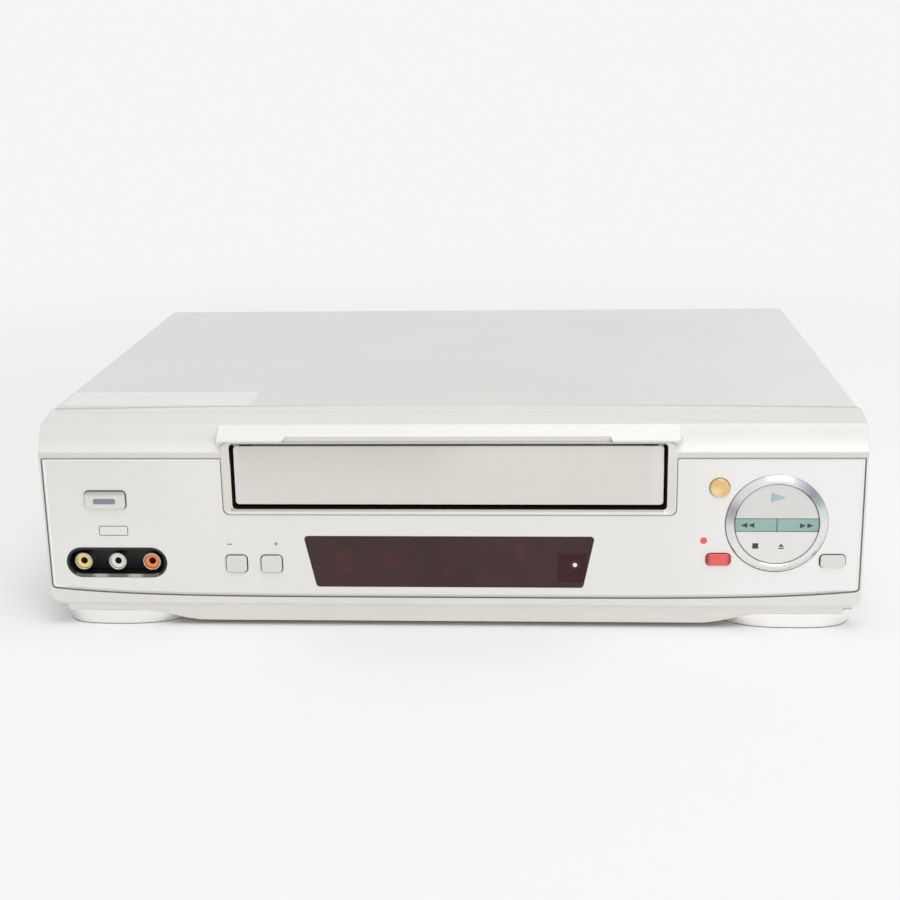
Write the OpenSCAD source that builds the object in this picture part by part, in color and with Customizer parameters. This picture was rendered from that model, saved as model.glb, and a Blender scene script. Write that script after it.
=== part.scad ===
/* [Casing] */
// Width of the bezel, the widest piece
body_w = 380; // [372:1:400]
// Height of the cover's top above the table
body_h = 101; // [100:0.5:112]
// From the front face to the rear edge of the cover
body_d = 268; // [266:1:300]
// Thickness of the steel cover, pan and rear panel
sheet_t = 1; // [0.8:0.1:1.2]
// How far the cover's sides stand in from the bezel's sides
cover_inset = 0.5; // [0.3:0.1:1.5]
// Bend radius along the cover's two top edges
cover_bend_r = 2.5; // [1.5:0.5:4]
// Depth of the flange that hangs from the cover's rear edge
cover_flange_h = 9; // [8:0.5:10]
// Gap between two still pieces that lie side by side
seam = 0.3; // [0.2:0.05:0.4]
// Height of the pan's underside above the table
base_z = 8.5; // [8:0.5:9.5]
// Height of the pan's side flanges
pan_flange_h = 13; // [8:1:20]
// Number of cooling slots in each row of the pan
pan_vents = 9; // [3:1:12]
// Length of a cooling slot
vent_l = 34; // [10:1:40]
// Width of a cooling slot
vent_w = 3; // [2:0.5:3.5]
// Distance between neighbouring cooling slots
vent_pitch = 9; // [7:0.5:10]
// Place of the pan's first cooling slot, from the bezel's side and face
pan_vent_place = [40, 64];
// Place of the rear panel's first cooling slot, from the centre and the table
rear_vent_pos = [40, 60];

/* [Bezel] */
// Wall of the moulded bezel
bezel_wall = 2.5; // [2:0.1:3]
// Distance from the front face to the cover at the sides
bezel_d = 24; // [20:0.5:30]
// How far the seam with the cover bows back at the middle
seam_bow = 4; // [2:0.5:6]
// Depth of the ridge over the slanted band
ridge_y = 7; // [6:0.5:9]
// Drop from the cover's top to the ridge
ridge_drop = 3.7; // [3:0.1:5]
// Drop from the cover's top to the slanted band's lower edge
band_drop = 15.2; // [14:0.1:15.5]
// Height at which the lower lip starts to lean back
lip_z = 13; // [12:0.5:14]
// How far the lip's lower edge leans back
lip_lean = 1.8; // [1:0.1:2.2]
// Height of the skirt's edge between the feet
skirt_z = 2.5; // [1.2:0.1:2.5]
// Height of the skirt's edge over the feet
skirt_high_z = 7.4; // [7:0.1:8]
// Half the length of the deep part of the skirt
skirt_half_w = 117; // [110:1:122]
// Length over which the skirt's edge rises
skirt_rise_w = 29; // [20:1:40]
// How far the skirt's ends stand in
skirt_in = 8; // [7:0.5:10]
// Radius of the bezel's lower corners
bezel_corner_r = 4; // [3:0.5:8]

/* [Fascia] */
// How far the fascia plate's ends stand in from the bezel's sides
fascia_in = 1.2; // [1:0.1:8]
// Drop from the slanted band's lower edge to the plate's top edge
fascia_drop = 3.1; // [2.3:0.1:3.3]
// Height of its bottom edge at the middle
fascia_low_z = 15.2; // [15:0.1:16]
// How much higher its bottom edge is at the ends
fascia_end_rise = 4; // [2:0.1:5]
// Radius of its lower corners
fascia_corner_r = 1.5; // [1:0.5:6]
// Thickness of the plate
fascia_t = 2.2; // [1.8:0.1:2.5]
// How far its face lies behind the bezel's face
fascia_recess = 0.4; // [0.2:0.1:0.8]
// Width of the bezel's rim that backs the plate
rim_w = 3.2; // [2.5:0.1:4]
// Thickness of that rim
rim_t = 2; // [1.5:0.1:2.5]
// Width of the frame beside the cassette slot
surround_side_w = 5.5; // [4:0.5:7]
// Height of the frame under the slot
surround_low_h = 3.6; // [3:0.1:5]
// Radius of the lower corners of the plate's opening for it
surround_r = 3; // [1:0.5:4]
// How far the frame in it lies behind the bezel's face
surround_recess = 1.2; // [1:0.1:1.5]

/* [Cassette slot] */
// Drop from the cover's top to the slot's upper edge, the hood's underside
slot_drop = 11.6; // [11.4:0.1:11.7]
// Height of the slot
slot_h = 30.4; // [30.2:0.1:30.8]
// Width of the door
door_w = 197.4; // [196.6:0.1:197.8]
// Gap between the door and each side of the slot
door_side_gap = 0.8; // [0.6:0.1:1.2]
// Gap under the door
door_low_gap = 1.5; // [1.2:0.1:1.8]
// Gap over the door
door_top_gap = 0.9; // [0.7:0.1:1.2]
// Thickness of the door
door_t = 2; // [1.6:0.1:2.2]
// How far the door's face lies behind the bezel's face
door_recess = 1; // [0.8:0.1:1.2]
// Distance of the hinge line behind the door's face
hinge_back = 2.4; // [2.2:0.1:2.5]
// Height of the hinge line above the door's upper edge
hinge_rise = 0.8; // [0.7:0.1:0.9]
// Radius of the door's hinge pins
door_pin_r = 1.2; // [1:0.05:1.3]
// Length of each hinge pin
door_pin_l = 3; // [2:0.1:3.5]
// Radius of the ear that carries each pin
door_ear_r = 1.9; // [1.8:0.1:2]
// Width of each ear
door_ear_w = 2.7; // [2:0.1:4]
// How far the raised hood reaches past the slot's frame at each side
hood_side_w = 1; // [0.5:0.5:5]
// How far the hood stands in front of the bezel's face
hood_proud = 1.2; // [0.8:0.1:1.4]
// How far its underside lies above the slot
hood_lift = 1.4; // [0.5:0.1:2]
// Height of its blunt front edge
hood_edge_h = 0.9; // [0.6:0.1:1.4]
// Width of the finger notch in the hood
notch_w = 149; // [100:1:170]
// Height of the notch above the hood's underside
notch_h = 3.5; // [2:0.1:4]
// How much wider the notch is at its lower edge
notch_flare = 4; // [0:0.5:8]
// Outer radius of the door spring
spring_r = 1.3; // [1.2:0.05:1.35]
// Wire radius of the door spring
spring_wire_r = 0.3; // [0.2:0.05:0.3]
// Number of turns of the door spring
spring_turns = 4; // [3:1:5]

/* [Window] */
// Width of the window at its top
window_top_w = 134.4; // [120:0.2:140]
// Width of the window at its bottom
window_low_w = 125; // [110:0.2:134]
// Gap between the window's top and the slot's frame
window_top_gap = 10.35; // [10:0.05:12]
// Gap between the window's bottom and the fascia plate's edge
window_low_gap = 4.95; // [4.5:0.05:6]
// Corner radius of the window
window_r = 1.5; // [0.5:0.1:3]
// Thickness of the window's clear front
window_t = 2; // [1.6:0.1:2.2]
// Width of the window's glued flange
window_flange = 1.3; // [1:0.1:1.3]

/* [Keys] */
// How far each key moves in
key_travel = 1; // [0.5:0.1:1]
// Gap round each key in its hole
key_gap = 0.3; // [0.2:0.05:0.4]
// How far the small keys stand in front of the bezel's face
key_proud = 0.8; // [0.4:0.1:1.2]
// Thickness of the flange that holds a key in
key_flange_t = 1; // [0.8:0.1:1.2]
// How far that flange reaches past the key
key_flange_w = 1.1; // [0.8:0.1:1.3]
// Radius of the stem behind each key
stem_r = 1.5; // [1:0.1:1.7]
// Centre of the power key, from the bezel's side and the fascia's top
power_place = [29.7, 20.1];
// Size of the power key
power_size = [19, 8.4];
// Centre of the lamp lens, from the power key's centre
lens_off = [-0.3, -0.4];
// Size of that lens
lens_size = [10.3, 2.5];
// Depth of that lens
lens_t = 1.4; // [1:0.1:1.8]
// Middle of the two channel keys, from the centre line and the table
channel_pos = [-91.5, 31.4];
// Distance between the two channel keys
channel_pitch = 16.6; // [13:0.1:20]
// Size of a channel key
channel_size = [9.6, 8.2];
// Centre of the round quick play key, from the dial's centre
quick_off = [-26.2, 17.1];
// Radius of the round quick play key
quick_r = 4.4; // [3.5:0.1:5]
// Centre of the record key, from the dial's centre
record_off = [-26, -17.4];
// Size of the record key
record_size = [10.9, 5.6];
// Centre of the pause key, from the dial's centre
pause_off = [26, -18];
// Size of the pause key
pause_size = [11.2, 6];
// Corner radius of the small keys
key_r = 1.8; // [0.5:0.1:2.4]

/* [Dial] */
// Centre of the dial, from the bezel's right side and the fascia's middle height
dial_place = [39.7, 2.85];
// Outer radius of the chrome ring
ring_r = 23.1; // [22.5:0.1:24]
// Inner radius of the chrome ring
ring_in_r = 19.2; // [18.5:0.1:19.5]
// Radius of the ring's body where it passes the fascia
ring_body_r = 21.6; // [21:0.1:22]
// How far the ring stands in front of the bezel's face
ring_proud = 1.6; // [1.3:0.1:2.5]
// Depth of the ring behind the bezel's face
ring_depth = 6; // [5:0.5:7]
// Lower edge of the bar across the dial, from its centre
bar_low = -3.6; // [-5:0.1:-3]
// Upper edge of that bar, from the dial's centre
bar_high = 2.6; // [2:0.1:4]
// Distance of each dial key's stem from the centre
dial_stem_off = 10.5; // [9:0.5:12]

/* [Front jacks] */
// Centre of the jack recess, from the bezel's left side and the table
av_place = [32.9, 31.7];
// Width of the jack recess
av_w = 48.2; // [46:0.2:49]
// Height of the jack recess
av_h = 15; // [13:0.1:15]
// Depth of the recess behind the bezel's face
av_depth = 10.5; // [7:0.5:11]
// Wall of the recess
av_wall = 1.2; // [1:0.1:1.5]
// Distance between neighbouring front jacks
av_pitch = 16.4; // [14.5:0.1:16.6]
// Outer radius of a phono jack's shell
jack_r = 4.15; // [4.1:0.01:4.2]
// Inner radius of the shell
jack_in_r = 3.75; // [3.6:0.01:3.8]
// Length of the shell that a plug slides over
jack_l = 8.5; // [8:0.1:9]
// Radius of the centre contact's bore
jack_bore_r = 1.6; // [1.5:0.05:1.8]
// Depth of that bore
jack_bore_l = 6; // [5:0.1:7]

/* [Feet] */
// Width of a front foot
foot_w = 62; // [50:1:64]
// Depth of a front foot
foot_d = 44; // [30:1:60]
// Distance of a foot's middle from the bezel's side
foot_in = 34.5; // [33:0.1:36]
// Distance of its front edge behind the front face
foot_y = 1.6; // [1.2:0.1:4]
// Radius of the foot's curved front
foot_front_r = 50; // [46:1:90]
// Corner radius of a front foot
foot_r = 7; // [4:0.5:10]
// Height of the foot's visible rim
foot_rim_h = 5.4; // [4:0.1:6]
// Radius of a rear foot
rear_foot_r = 13; // [8:0.5:16]
// Distance of the rear feet from the cover's rear edge
rear_foot_in = 32; // [25:1:50]

/* [Rear connectors] */
// Distance between neighbouring rear jacks
rear_pitch = 14; // [13:0.5:14.5]
// Columns of rear jacks
rear_columns = 2; // [1:1:2]
// Rows of rear jacks
rear_rows = 3; // [2:1:3]
// Middle of the rear jack block, from the bezel's left side and the table
rear_block_place = [59, 40];
// Depth of the rear jack block inside the panel
rear_block_d = 13; // [10:1:16]
// Radius of an aerial connector
aerial_r = 4.76; // [4.7:0.01:4.8]
// How far an aerial connector stands out of the panel
aerial_l = 9.5; // [8:0.5:11]
// Distance between the two aerial connectors
aerial_pitch = 19; // [16:0.5:22]
// Middle of the aerial connectors, from the bezel's left side and the table
aerial_place = [26, 40];
// Size of the tuner can behind them
tuner_size = [24, 62];
// Radius of an aerial connector's bore
aerial_bore_r = 1.6; // [0.5:0.1:2]
// Middle of the mains cord gland, from the bezel's right side and the table
gland_place = [32, 30];
// Cord passage through the gland, a flat two-core cord
gland_slot = [7, 3.6];

/* [Screws] */
// Radius of a screw's shank
screw_r = 1.4; // [1.2:0.05:1.5]
// Radius of a screw's head
screw_head_r = 3; // [2.5:0.1:3.5]
// Thickness of a screw's head
screw_head_t = 1.8; // [1.2:0.1:2.2]
// Length of a screw's shank
screw_l = 8; // [5:0.5:9]
// Distance of the rear panel's outer screws from the bezel's sides
rear_screw_in = 20; // [16:1:24]
// Distance of its inner screws from the centre line
rear_screw_x = 60; // [30:1:90]
// Clearance round the shank in its hole
screw_gap = 0.2; // [0.15:0.05:0.3]

/* [Circuit boards] */
// Thickness of a circuit board
board_t = 1.6; // [1.2:0.1:1.8]
// Height of the flat boards above the pan
board_rise = 2.5; // [2:0.1:3]
// Distance of the front board's face behind the bezel's face
front_board_y = 19; // [18.5:0.1:20]
// Lower edge of the front board
front_board_low_z = 14; // [13:0.5:15]
// Gap between the front board and the underside of the slot's frame
front_board_mid_gap = 1.4; // [1:0.1:4]
// Gap between the front board and the side of the slot's frame
front_board_side_gap = 3; // [2:0.5:5]
// How far the front board's ends stop below the fascia's top
front_board_top_gap = 3.7; // [2:0.1:6]
// Heights of the ribs that the front board stands against
board_rib_zs = [24, 64];
// Height of each of those ribs
board_rib_h = 8; // [6:0.5:10]
// Width of a key switch
switch_w = 6; // [5:0.1:6.2]
// Thickness of a key switch's body
switch_t = 3.5; // [3:0.1:3.8]
// Length of a key switch's plunger
plunger_l = 1.2; // [0.8:0.1:1.4]
// Width of the display tube
tube_w = 108; // [90:1:112]
// How far the tube stops short of the window's top and bottom
tube_low_gap = 1.95; // [1.5:0.05:3]
// Thickness of the display tube
tube_t = 5; // [4:0.5:6]
// Width of the bay for the boards at each side
bay_w = 68; // [64:1:69]
// Depth of the main board's front edge
main_board_y = 42; // [40:1:46]
// Depth of the main board's wide front part
main_front_d = 50; // [40:1:56]
// How far that part reaches past the centre line
main_front_x = 100; // [80:1:104]
// Depth of the power board
power_board_d = 140; // [130:1:144]
// Gap between the boards and the rear panel
board_back_gap = 6; // [5:0.5:8]
// Distance of the board posts from the edges of the boards
board_post_in = 6; // [5:0.5:8]
// Distance of the main board's posts from its front edge, then from the rear panel
main_post_steps = [18, 108, 21];
// Radius of the board posts
board_post_r = 3; // [2:0.5:4]
// Chips on the main board: place from its front left corner, then size
main_chips = [
  [34, 28, 22, 22, 2.5], [34, 70, 14, 30, 3], [50, 138, 10, 24, 4], [224, 24, 24, 18, 2.5]
];
// Capacitors on the main board: place from that corner, radius, height
main_caps = [
  [10, 18, 4, 11], [10, 36, 4, 11], [10, 54, 4, 11], [10, 72, 4, 11], [10, 90, 4, 11],
  [10, 108, 4, 11], [58, 54, 5, 13], [58, 86, 5, 13], [58, 118, 5, 13],
  [94, 28, 3, 9], [118, 28, 3, 9], [142, 28, 3, 9], [166, 28, 3, 9]
];
// Heat sink on the power board: place from its front left corner, then size
power_chips = [[16, 32, 18, 10, 24]];
// Capacitors on the power board: place from that corner, radius, height
power_caps = [[18, 118, 11, 30], [44, 32, 5, 20], [58, 32, 5, 20]];
// Middle of the transformer, from the power board's front left corner
transformer_off = [42, 78];
// Width, depth and height of the transformer's core
transformer_size = [24, 32, 30];
// Width, depth and height of the transformer's winding
winding_size = [36, 22, 20];

/* [Deck] */
// Height of the deck plate's top
deck_z = 31.2; // [31:0.1:32]
// Thickness of the deck plate
deck_t = 1.2; // [1:0.1:1.4]
// Width of the deck plate
deck_w = 224; // [222:1:226]
// Depth of the deck plate's front edge
deck_y = 38; // [36:0.5:39]
// Gap between the deck plate and the rear panel
deck_back_gap = 6; // [4:0.5:8]
// Radius of the four posts under the deck plate
post_r = 4; // [3.5:0.1:4.5]
// Distance of the posts from the plate's edges
post_in = 6; // [5:0.5:7]

/* [Head drum] */
// Radius of the drum
drum_r = 31; // [30:0.1:31.5]
// Distance of the drum's middle in front of the rear panel
drum_back = 54; // [53:0.5:55]
// Height of the gap between the drum's halves above the deck
drum_split = 24; // [22:0.5:25]
// Height of the fixed half
drum_low_h = 18; // [14:0.5:19]
// Height of the spinning half
drum_top_h = 16; // [12:0.5:20]
// Lean of the drum
drum_lean = 5.96; // [4:0.01:6.5]
// Radius of the drum's shaft
drum_shaft_r = 3; // [2:0.1:4]
// Gap between the two halves
drum_gap = 0.3; // [0.2:0.05:0.5]
// Clearance of a turning shaft in its bearing
shaft_gap = 0.05; // [0.03:0.01:0.08]

/* [Capstan] */
// Place of the capstan shaft, from the drum's middle
capstan_off = [56, -40];
// Radius of the capstan shaft
capstan_r = 1.5; // [1.2:0.05:2]
// Height of the capstan shaft above the deck
capstan_h = 25; // [20:0.5:28]
// Radius of the bearing round the shaft
bearing_r = 4; // [3.5:0.1:4.5]
// Height of the bearing above the deck
bearing_h = 5.5; // [4:0.5:5.5]
// Radius of the flywheel
flywheel_r = 28; // [24:0.5:29]
// Thickness of the flywheel
flywheel_t = 7; // [5:0.5:7.5]
// Radius of the pulley under the flywheel
pulley_r = 6; // [5:0.1:8]
// Thickness of that pulley
pulley_t = 3; // [2.5:0.1:3.2]
// Radius of the motor's stator board
stator_r = 24; // [20:0.5:24.5]
// Thickness of the motor's stator board
stator_t = 3; // [2:0.1:3.2]

/* [Pinch roller] */
// Place of the pinch arm's pivot, from the drum's middle
pinch_off = [84, -34];
// Length of the pinch arm
pinch_l = 23.4; // [23:0.1:23.6]
// Angle of the arm at rest
pinch_rest = 138; // [120:1:140]
// Turn of the arm from rest to the capstan
pinch_turn = 35; // [30:1:36]
// Radius of the pinch roller
roller_r = 8; // [7:0.1:8]
// Height of the pinch roller
roller_h = 15; // [12:0.5:16]

/* [Reels] */
// Distance between the two reels
reel_pitch = 92; // [90:0.5:92]
// Distance of the reels in front of the drum's middle
reel_ahead = 107; // [106:0.5:109]
// Radius of a reel's table
reel_r = 18; // [16:0.1:18.2]
// Thickness of a reel's table
reel_t = 6; // [5:0.5:6.5]
// Teeth round a reel
reel_teeth = 36; // [24:1:40]
// Radius of a reel's spindle
spindle_r = 4; // [3.5:0.1:4.5]
// Height of a reel's spindle above its table
spindle_h = 14; // [10:0.5:16]
// Radius of the pins that the reels, idler and cam turn on
axle_r = 1.5; // [1.2:0.1:2]
// Radius of the idler gear
idler_r = 14; // [12:0.1:14]
// Teeth round the idler gear
idler_teeth = 28; // [20:1:30]
// Distance from the idler arm's pivot to its gear
idler_l = 40; // [38:0.5:40]
// Distance of the idler arm's pivot behind the reels
idler_back = 45; // [44:0.5:46]
// Radius of the clutch pulley under the deck
clutch_r = 12; // [10:0.5:13]
// Side of the drive belt's square section
belt_w = 1.4; // [1:0.1:1.6]

/* [Loading drive] */
// Place of the cam gear, from the drum's middle
cam_off = [-72, 10];
// Radius of the cam gear
cam_r = 24; // [20:0.5:24.5]
// Thickness of the cam gear
cam_t = 6; // [4:0.5:7]
// Teeth round the cam gear
cam_teeth = 48; // [30:1:50]
// Height of the cam gear's underside above the deck
cam_rise = 7; // [6.5:0.5:9]
// Depth of the teeth of every gear
tooth_h = 1.4; // [0.8:0.1:1.6]
// Outer radius of the worm
worm_r = 4.4; // [3.5:0.1:4.6]
// Length of the worm
worm_l = 30; // [24:1:32]
// Distance between the worm's turns
worm_pitch = 3.1; // [2.5:0.1:4]
// Gap between two sets of teeth
tooth_gap = 0.35; // [0.3:0.05:0.5]
// Radius of the loading motor
motor_r = 8.5; // [7:0.1:8.8]
// Length of the loading motor
motor_l = 26; // [20:1:28]

/* [Tape guides] */
// Place of a guide at rest, from the drum's middle
guide_start_off = [24, -49];
// Place of a guide beside the drum, from the drum's middle
guide_end_off = [36, -7];
// Radius of a guide post
guide_post_r = 3; // [2:0.1:3.5]
// Height of a guide post
guide_post_h = 19; // [15:0.5:22]
// Side of the sliding block under it
guide_block = 10; // [8:0.1:11]
// Height of that block
guide_block_h = 4; // [3:0.1:5]
// Radius of the pin that runs in the deck's slot
guide_pin_r = 1.6; // [1.2:0.1:2]
// Place of the erase head, from the drum's middle, and its turn
erase_head_off = [-56, -30, 20];
// The same for the audio and control head
audio_head_off = [50, -20, -20];
// Width, depth and height of a head
head_size = [10, 8, 15];

/* [Carriage] */
// Width of a cassette
cassette_w = 188; // [187:0.5:188]
// Depth of a cassette
cassette_d = 104; // [103:0.5:104]
// Gap between the cassette and the holder
cassette_gap = 1; // [0.5:0.1:1]
// Sheet of the holder, slides and side frame
holder_t = 1; // [0.8:0.1:1.1]
// Distance of the holder's front edge behind the front face
holder_y = 34; // [33.5:0.1:34.5]
// Height of the holder's underside above the slot's lower edge
holder_rise = 1.2; // [1:0.1:1.4]
// Inside height of the holder
holder_h = 26.2; // [25.8:0.1:26.4]
// Depth of the cassette's front that stays clear of the holder
holder_clear = 29; // [28.5:0.1:29.5]
// Width of the ledge that carries the cassette
ledge_w = 14; // [10:0.5:16]
// Distance of the cassette's hubs behind the front face before it slides in
hub_y = 50; // [50:0.5:55]
// How far the holder then drops
carriage_drop = 22; // [20:0.5:22.5]
// Radius of the pins that run in the slots
slide_pin_r = 1.5; // [1.2:0.1:1.8]
// Places of the two windows in each side of the frame, from its front edge
frame_window_ys = [10, 64];
// Length of each of those windows
frame_window_l = 40; // [30:1:48]
// Clearance of those pins in their slots
slide_pin_gap = 0.3; // [0.3:0.05:0.5]
// Gap between the holder and the lift slides
slide_gap = 1.6; // [1.2:0.1:2]
// Place of the first pair of holder pins, from the holder's front lower corner
holder_pin_off = [26, 19.8];
// Distance between the two pins on each side
holder_pin_pitch = 32; // [26:1:34]
// Height of the lift slides' own pins above the holder's pins
slide_pin_rise = 8; // [7.5:0.1:8.5]

/* [Hidden] */
$fn = 48;
far = 500;
bite = 0.01;

half_w = body_w / 2;
band_low_z = body_h - band_drop;
fascia_w = body_w - 2 * fascia_in;
fascia_top_z = band_low_z - fascia_drop;
slot_top_z = body_h - slot_drop;
slot_low_z = slot_top_z - slot_h;
slot_w = door_w + 2 * door_side_gap;
door_low_z = slot_low_z + door_low_gap;
door_top_z = slot_top_z - door_top_gap;
surround_w = slot_w + 2 * surround_side_w;
surround_low_z = slot_low_z - surround_low_h;
hood_half_w = surround_w / 2 + hood_side_w;
hood_low_z = slot_top_z + hood_lift;
hood_edge_z = hood_low_z + hood_edge_h;
cover_x = half_w - cover_inset;
ridge_z = body_h - ridge_drop;
seam_mid_y = bezel_d + seam_bow;
pan_top_z = base_z + sheet_t;
pan_x = cover_x - sheet_t - seam;
pan_front_x = half_w - bezel_wall - seam;
pan_side_y = bezel_d + seam_bow + 8;
panel_y = body_d - 2 * sheet_t;
jack_tip_y = body_d + jack_l;
rear_y = max(jack_tip_y, panel_y + sheet_t + aerial_l);
mid_y = (rear_y - ring_proud) / 2;

fascia_y = fascia_recess;
fascia_back_y = fascia_y + fascia_t;
frame_back_y = fascia_back_y + rim_t;
hinge_y = door_recess + hinge_back;
hinge_z = door_top_z + hinge_rise;
flange_y = fascia_back_y + seam;
switch_front_y = front_board_y - switch_t;
plunger_y = switch_front_y - plunger_l;
stem_y = plunger_y - key_travel - 0.1;
window_h = surround_low_z - window_top_gap - fascia_low_z - window_low_gap;
window_mid_z = fascia_low_z + window_low_gap + window_h / 2;
tube_h = window_h - 2 * tube_low_gap;
power_pos = [power_place[0] - half_w, fascia_top_z - power_place[1]];
lens_pos = power_pos + lens_off;
channel_down_pos = channel_pos - [channel_pitch / 2, 0];
channel_up_pos = channel_pos + [channel_pitch / 2, 0];
dial_pos = [half_w - dial_place[0], (fascia_top_z + fascia_low_z) / 2 + dial_place[1]];
quick_pos = dial_pos + quick_off;
record_pos = dial_pos + record_off;
pause_pos = dial_pos + pause_off;
av_pos = [av_place[0] - half_w, av_place[1]];
foot_x = half_w - foot_in;
rear_block_pos = [rear_block_place[0] - half_w, rear_block_place[1]];
aerial_pos = [aerial_place[0] - half_w, aerial_place[1]];
gland_pos = [half_w - gland_place[0], gland_place[1]];
spring_l = 2 * spring_wire_r * spring_turns;
spring_x = door_w / 2 - door_ear_w - seam;
// Places of the key stems
bar_mid = (bar_low + bar_high) / 2;
key_stems = [
  power_pos, channel_down_pos, channel_up_pos, quick_pos, record_pos, pause_pos,
  dial_pos + [0, dial_stem_off], dial_pos + [0, -dial_stem_off],
  dial_pos + [-dial_stem_off, bar_mid], dial_pos + [dial_stem_off, bar_mid]
];
front_board_mid_z = surround_low_z - front_board_mid_gap;
front_board_top_z = fascia_top_z - front_board_top_gap;
front_board_half_w = surround_w / 2 + front_board_side_gap;
deck_d = panel_y - deck_back_gap - deck_y;
board_z = pan_top_z + board_rise;
part_z = board_z + board_t;
deck_low_z = deck_z - deck_t;
bay_x = half_w - 6;
power_board_x = bay_x - bay_w;
power_board_y = panel_y - board_back_gap - 2 - power_board_d;
main_post_xs = [board_post_in - bay_x, bay_w - bay_x - board_post_in];
main_post_ys = [
  main_board_y + main_post_steps[0], main_board_y + main_post_steps[1], panel_y - main_post_steps[2]
];
main_posts = [
  [main_post_xs[0], main_post_ys[0]], [main_post_xs[0], main_post_ys[1]],
  [main_post_xs[1], main_post_ys[1]], [main_post_xs[1], main_post_ys[2]],
  [main_front_x - 40, main_board_y + 38]
];
power_posts = [
  for (x = [power_board_x + board_post_in, bay_x - board_post_in],
    y = [power_board_y + 8, power_board_y + power_board_d - 8]) [x, y]
];
transformer_pos = [power_board_x, power_board_y] + transformer_off;
post_x = deck_w / 2 - post_in;
post_ys = [deck_y + post_in, deck_y + deck_d - post_in];
rear_screw_z = body_h - sheet_t - cover_flange_h / 2;
rear_screw_xs = [rear_screw_in - half_w, -rear_screw_x, rear_screw_x, half_w - rear_screw_in];

drum_y = panel_y - drum_back;
capstan_pos = capstan_off + [0, drum_y];
pinch_pos = pinch_off + [0, drum_y];
cam_pos = cam_off + [0, drum_y];
guide_start = guide_start_off + [0, drum_y];
guide_end = guide_end_off + [0, drum_y];
reel_y = drum_y - reel_ahead;
idler_y = reel_y + idler_back;
cam_z = deck_z + cam_rise;
worm_z = cam_z + cam_t / 2;
worm_y = cam_pos[1] + cam_r + worm_r + tooth_gap;
reel_z = deck_z + 2;
idler_z = reel_z + reel_t + 0.6;
idler_pivot = [0, idler_y];
flywheel_z = deck_low_z - stator_t - 0.5 - flywheel_t;
belt_z = flywheel_z - pulley_t / 2;
pinch_z = deck_z + 2.6;
roller_z = pinch_z + 3.4;

holder_low_z = slot_low_z + holder_rise;
holder_pin_pos = [holder_y, holder_low_z] + holder_pin_off;
slide_pin_z = holder_pin_pos[1] + slide_pin_rise;
carriage_in = reel_y - hub_y;
holder_in_x = cassette_w / 2 + cassette_gap;
holder_x = holder_in_x + holder_t;
holder_d = cassette_d + cassette_gap + holder_t - holder_clear;
holder_back_y = holder_y + holder_d;
holder_top_z = holder_low_z + holder_t + holder_h;
slide_x = holder_x + slide_gap;
slide_out_x = slide_x + holder_t;
frame_x = slide_out_x + slide_gap;
frame_out_x = frame_x + holder_t;
pin_slot_r = slide_pin_r + slide_pin_gap;
frame_y = holder_y + 5;
frame_top_z = slide_pin_z + 5.5;

// Depth is counted from the front face, then centred
module placed() {
  translate([0, -mid_y, 0]) children();
}

// A flat shape in width and height, from depth y0 to y1
module slab(y0, y1) {
  translate([0, y1, 0]) rotate([90, 0, 0]) linear_extrude(y1 - y0) children();
}

// A flat shape in depth and height, from width x0 to x1
module rib(x0, x1) {
  translate([x0, 0, 0]) rotate([90, 0, 90]) linear_extrude(x1 - x0) children();
}

// A flat shape in width and depth, from height z0 to z1
module layer(z0, z1) {
  translate([0, 0, z0]) linear_extrude(z1 - z0) children();
}

// A block between two corners
module block(low, high) {
  translate(low) cube(high - low);
}

// The same pieces on the left and on the right
module both_sides() {
  children();
  mirror([1, 0, 0]) children();
}

// A flat rectangle round the origin with round corners
module round_rect(w, h, r) {
  square([w, h - 2 * r], center = true);
  square([w - 2 * r, h], center = true);
  for (sx = [-1, 1], sy = [-1, 1])
    translate([sx * (w / 2 - r), sy * (h / 2 - r)]) circle(r);
}

// A flat slot with round ends between two points
module slot_shape(a, b, r) {
  length = norm(b - a);
  translate(a) rotate(atan2(b[1] - a[1], b[0] - a[0])) {
    circle(r);
    translate([length, 0]) circle(r);
    translate([0, -r]) square([length, 2 * r]);
  }
}

// A gear's flat outline: straight flanked teeth on a round root
module gear_shape(tip_r, teeth) {
  root_r = tip_r - tooth_h;
  step = 360 / teeth;
  polygon([
    for (i = [0:teeth - 1], p = [[-0.32, root_r], [-0.14, tip_r], [0.14, tip_r], [0.32, root_r]])
      p[1] * [cos((i + p[0]) * step), sin((i + p[0]) * step)]
  ]);
}

function smooth(t) = t <= 0 ? 0 : t >= 1 ? 1 : t * t * (3 - 2 * t);
function skirt_edge(x) =
  skirt_z + (skirt_high_z - skirt_z) * smooth((abs(x) - skirt_half_w) / skirt_rise_w);
function seam_y(x) = bezel_d + seam_bow * (1 - pow(x / half_w, 2));
function fascia_edge(x) = fascia_low_z + fascia_end_rise * pow(abs(2 * x / fascia_w), 5);

// Everything in front of the bowed seam, moved back by a distance
module before_seam(shift) {
  reach = half_w + 4;
  steps = 24;
  layer(-1, far) polygon(concat(
    [[reach, -20], [-reach, -20]],
    [for (i = [0:steps]) let (x = reach * (2 * i / steps - 1)) [x, seam_y(x) + shift]]
  ));
}

// Outline of the bezel seen from the front
module bezel_outline() {
  corner_x = half_w - bezel_corner_r;
  corner_z = lip_z - 1 + bezel_corner_r;
  step_x = half_w - skirt_in;
  steps = 64;
  polygon(concat(
    [[half_w, body_h + 1], [-half_w, body_h + 1]],
    [for (a = [180:15:270])
      [-corner_x + bezel_corner_r * cos(a), corner_z + bezel_corner_r * sin(a)]],
    [[-step_x - 1, lip_z - 1]],
    [for (i = [0:steps]) let (x = step_x * (2 * i / steps - 1)) [x, skirt_edge(x)]],
    [[step_x + 1, lip_z - 1]],
    [for (a = [270:15:360])
      [corner_x + bezel_corner_r * cos(a), corner_z + bezel_corner_r * sin(a)]]
  ));
}

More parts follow.
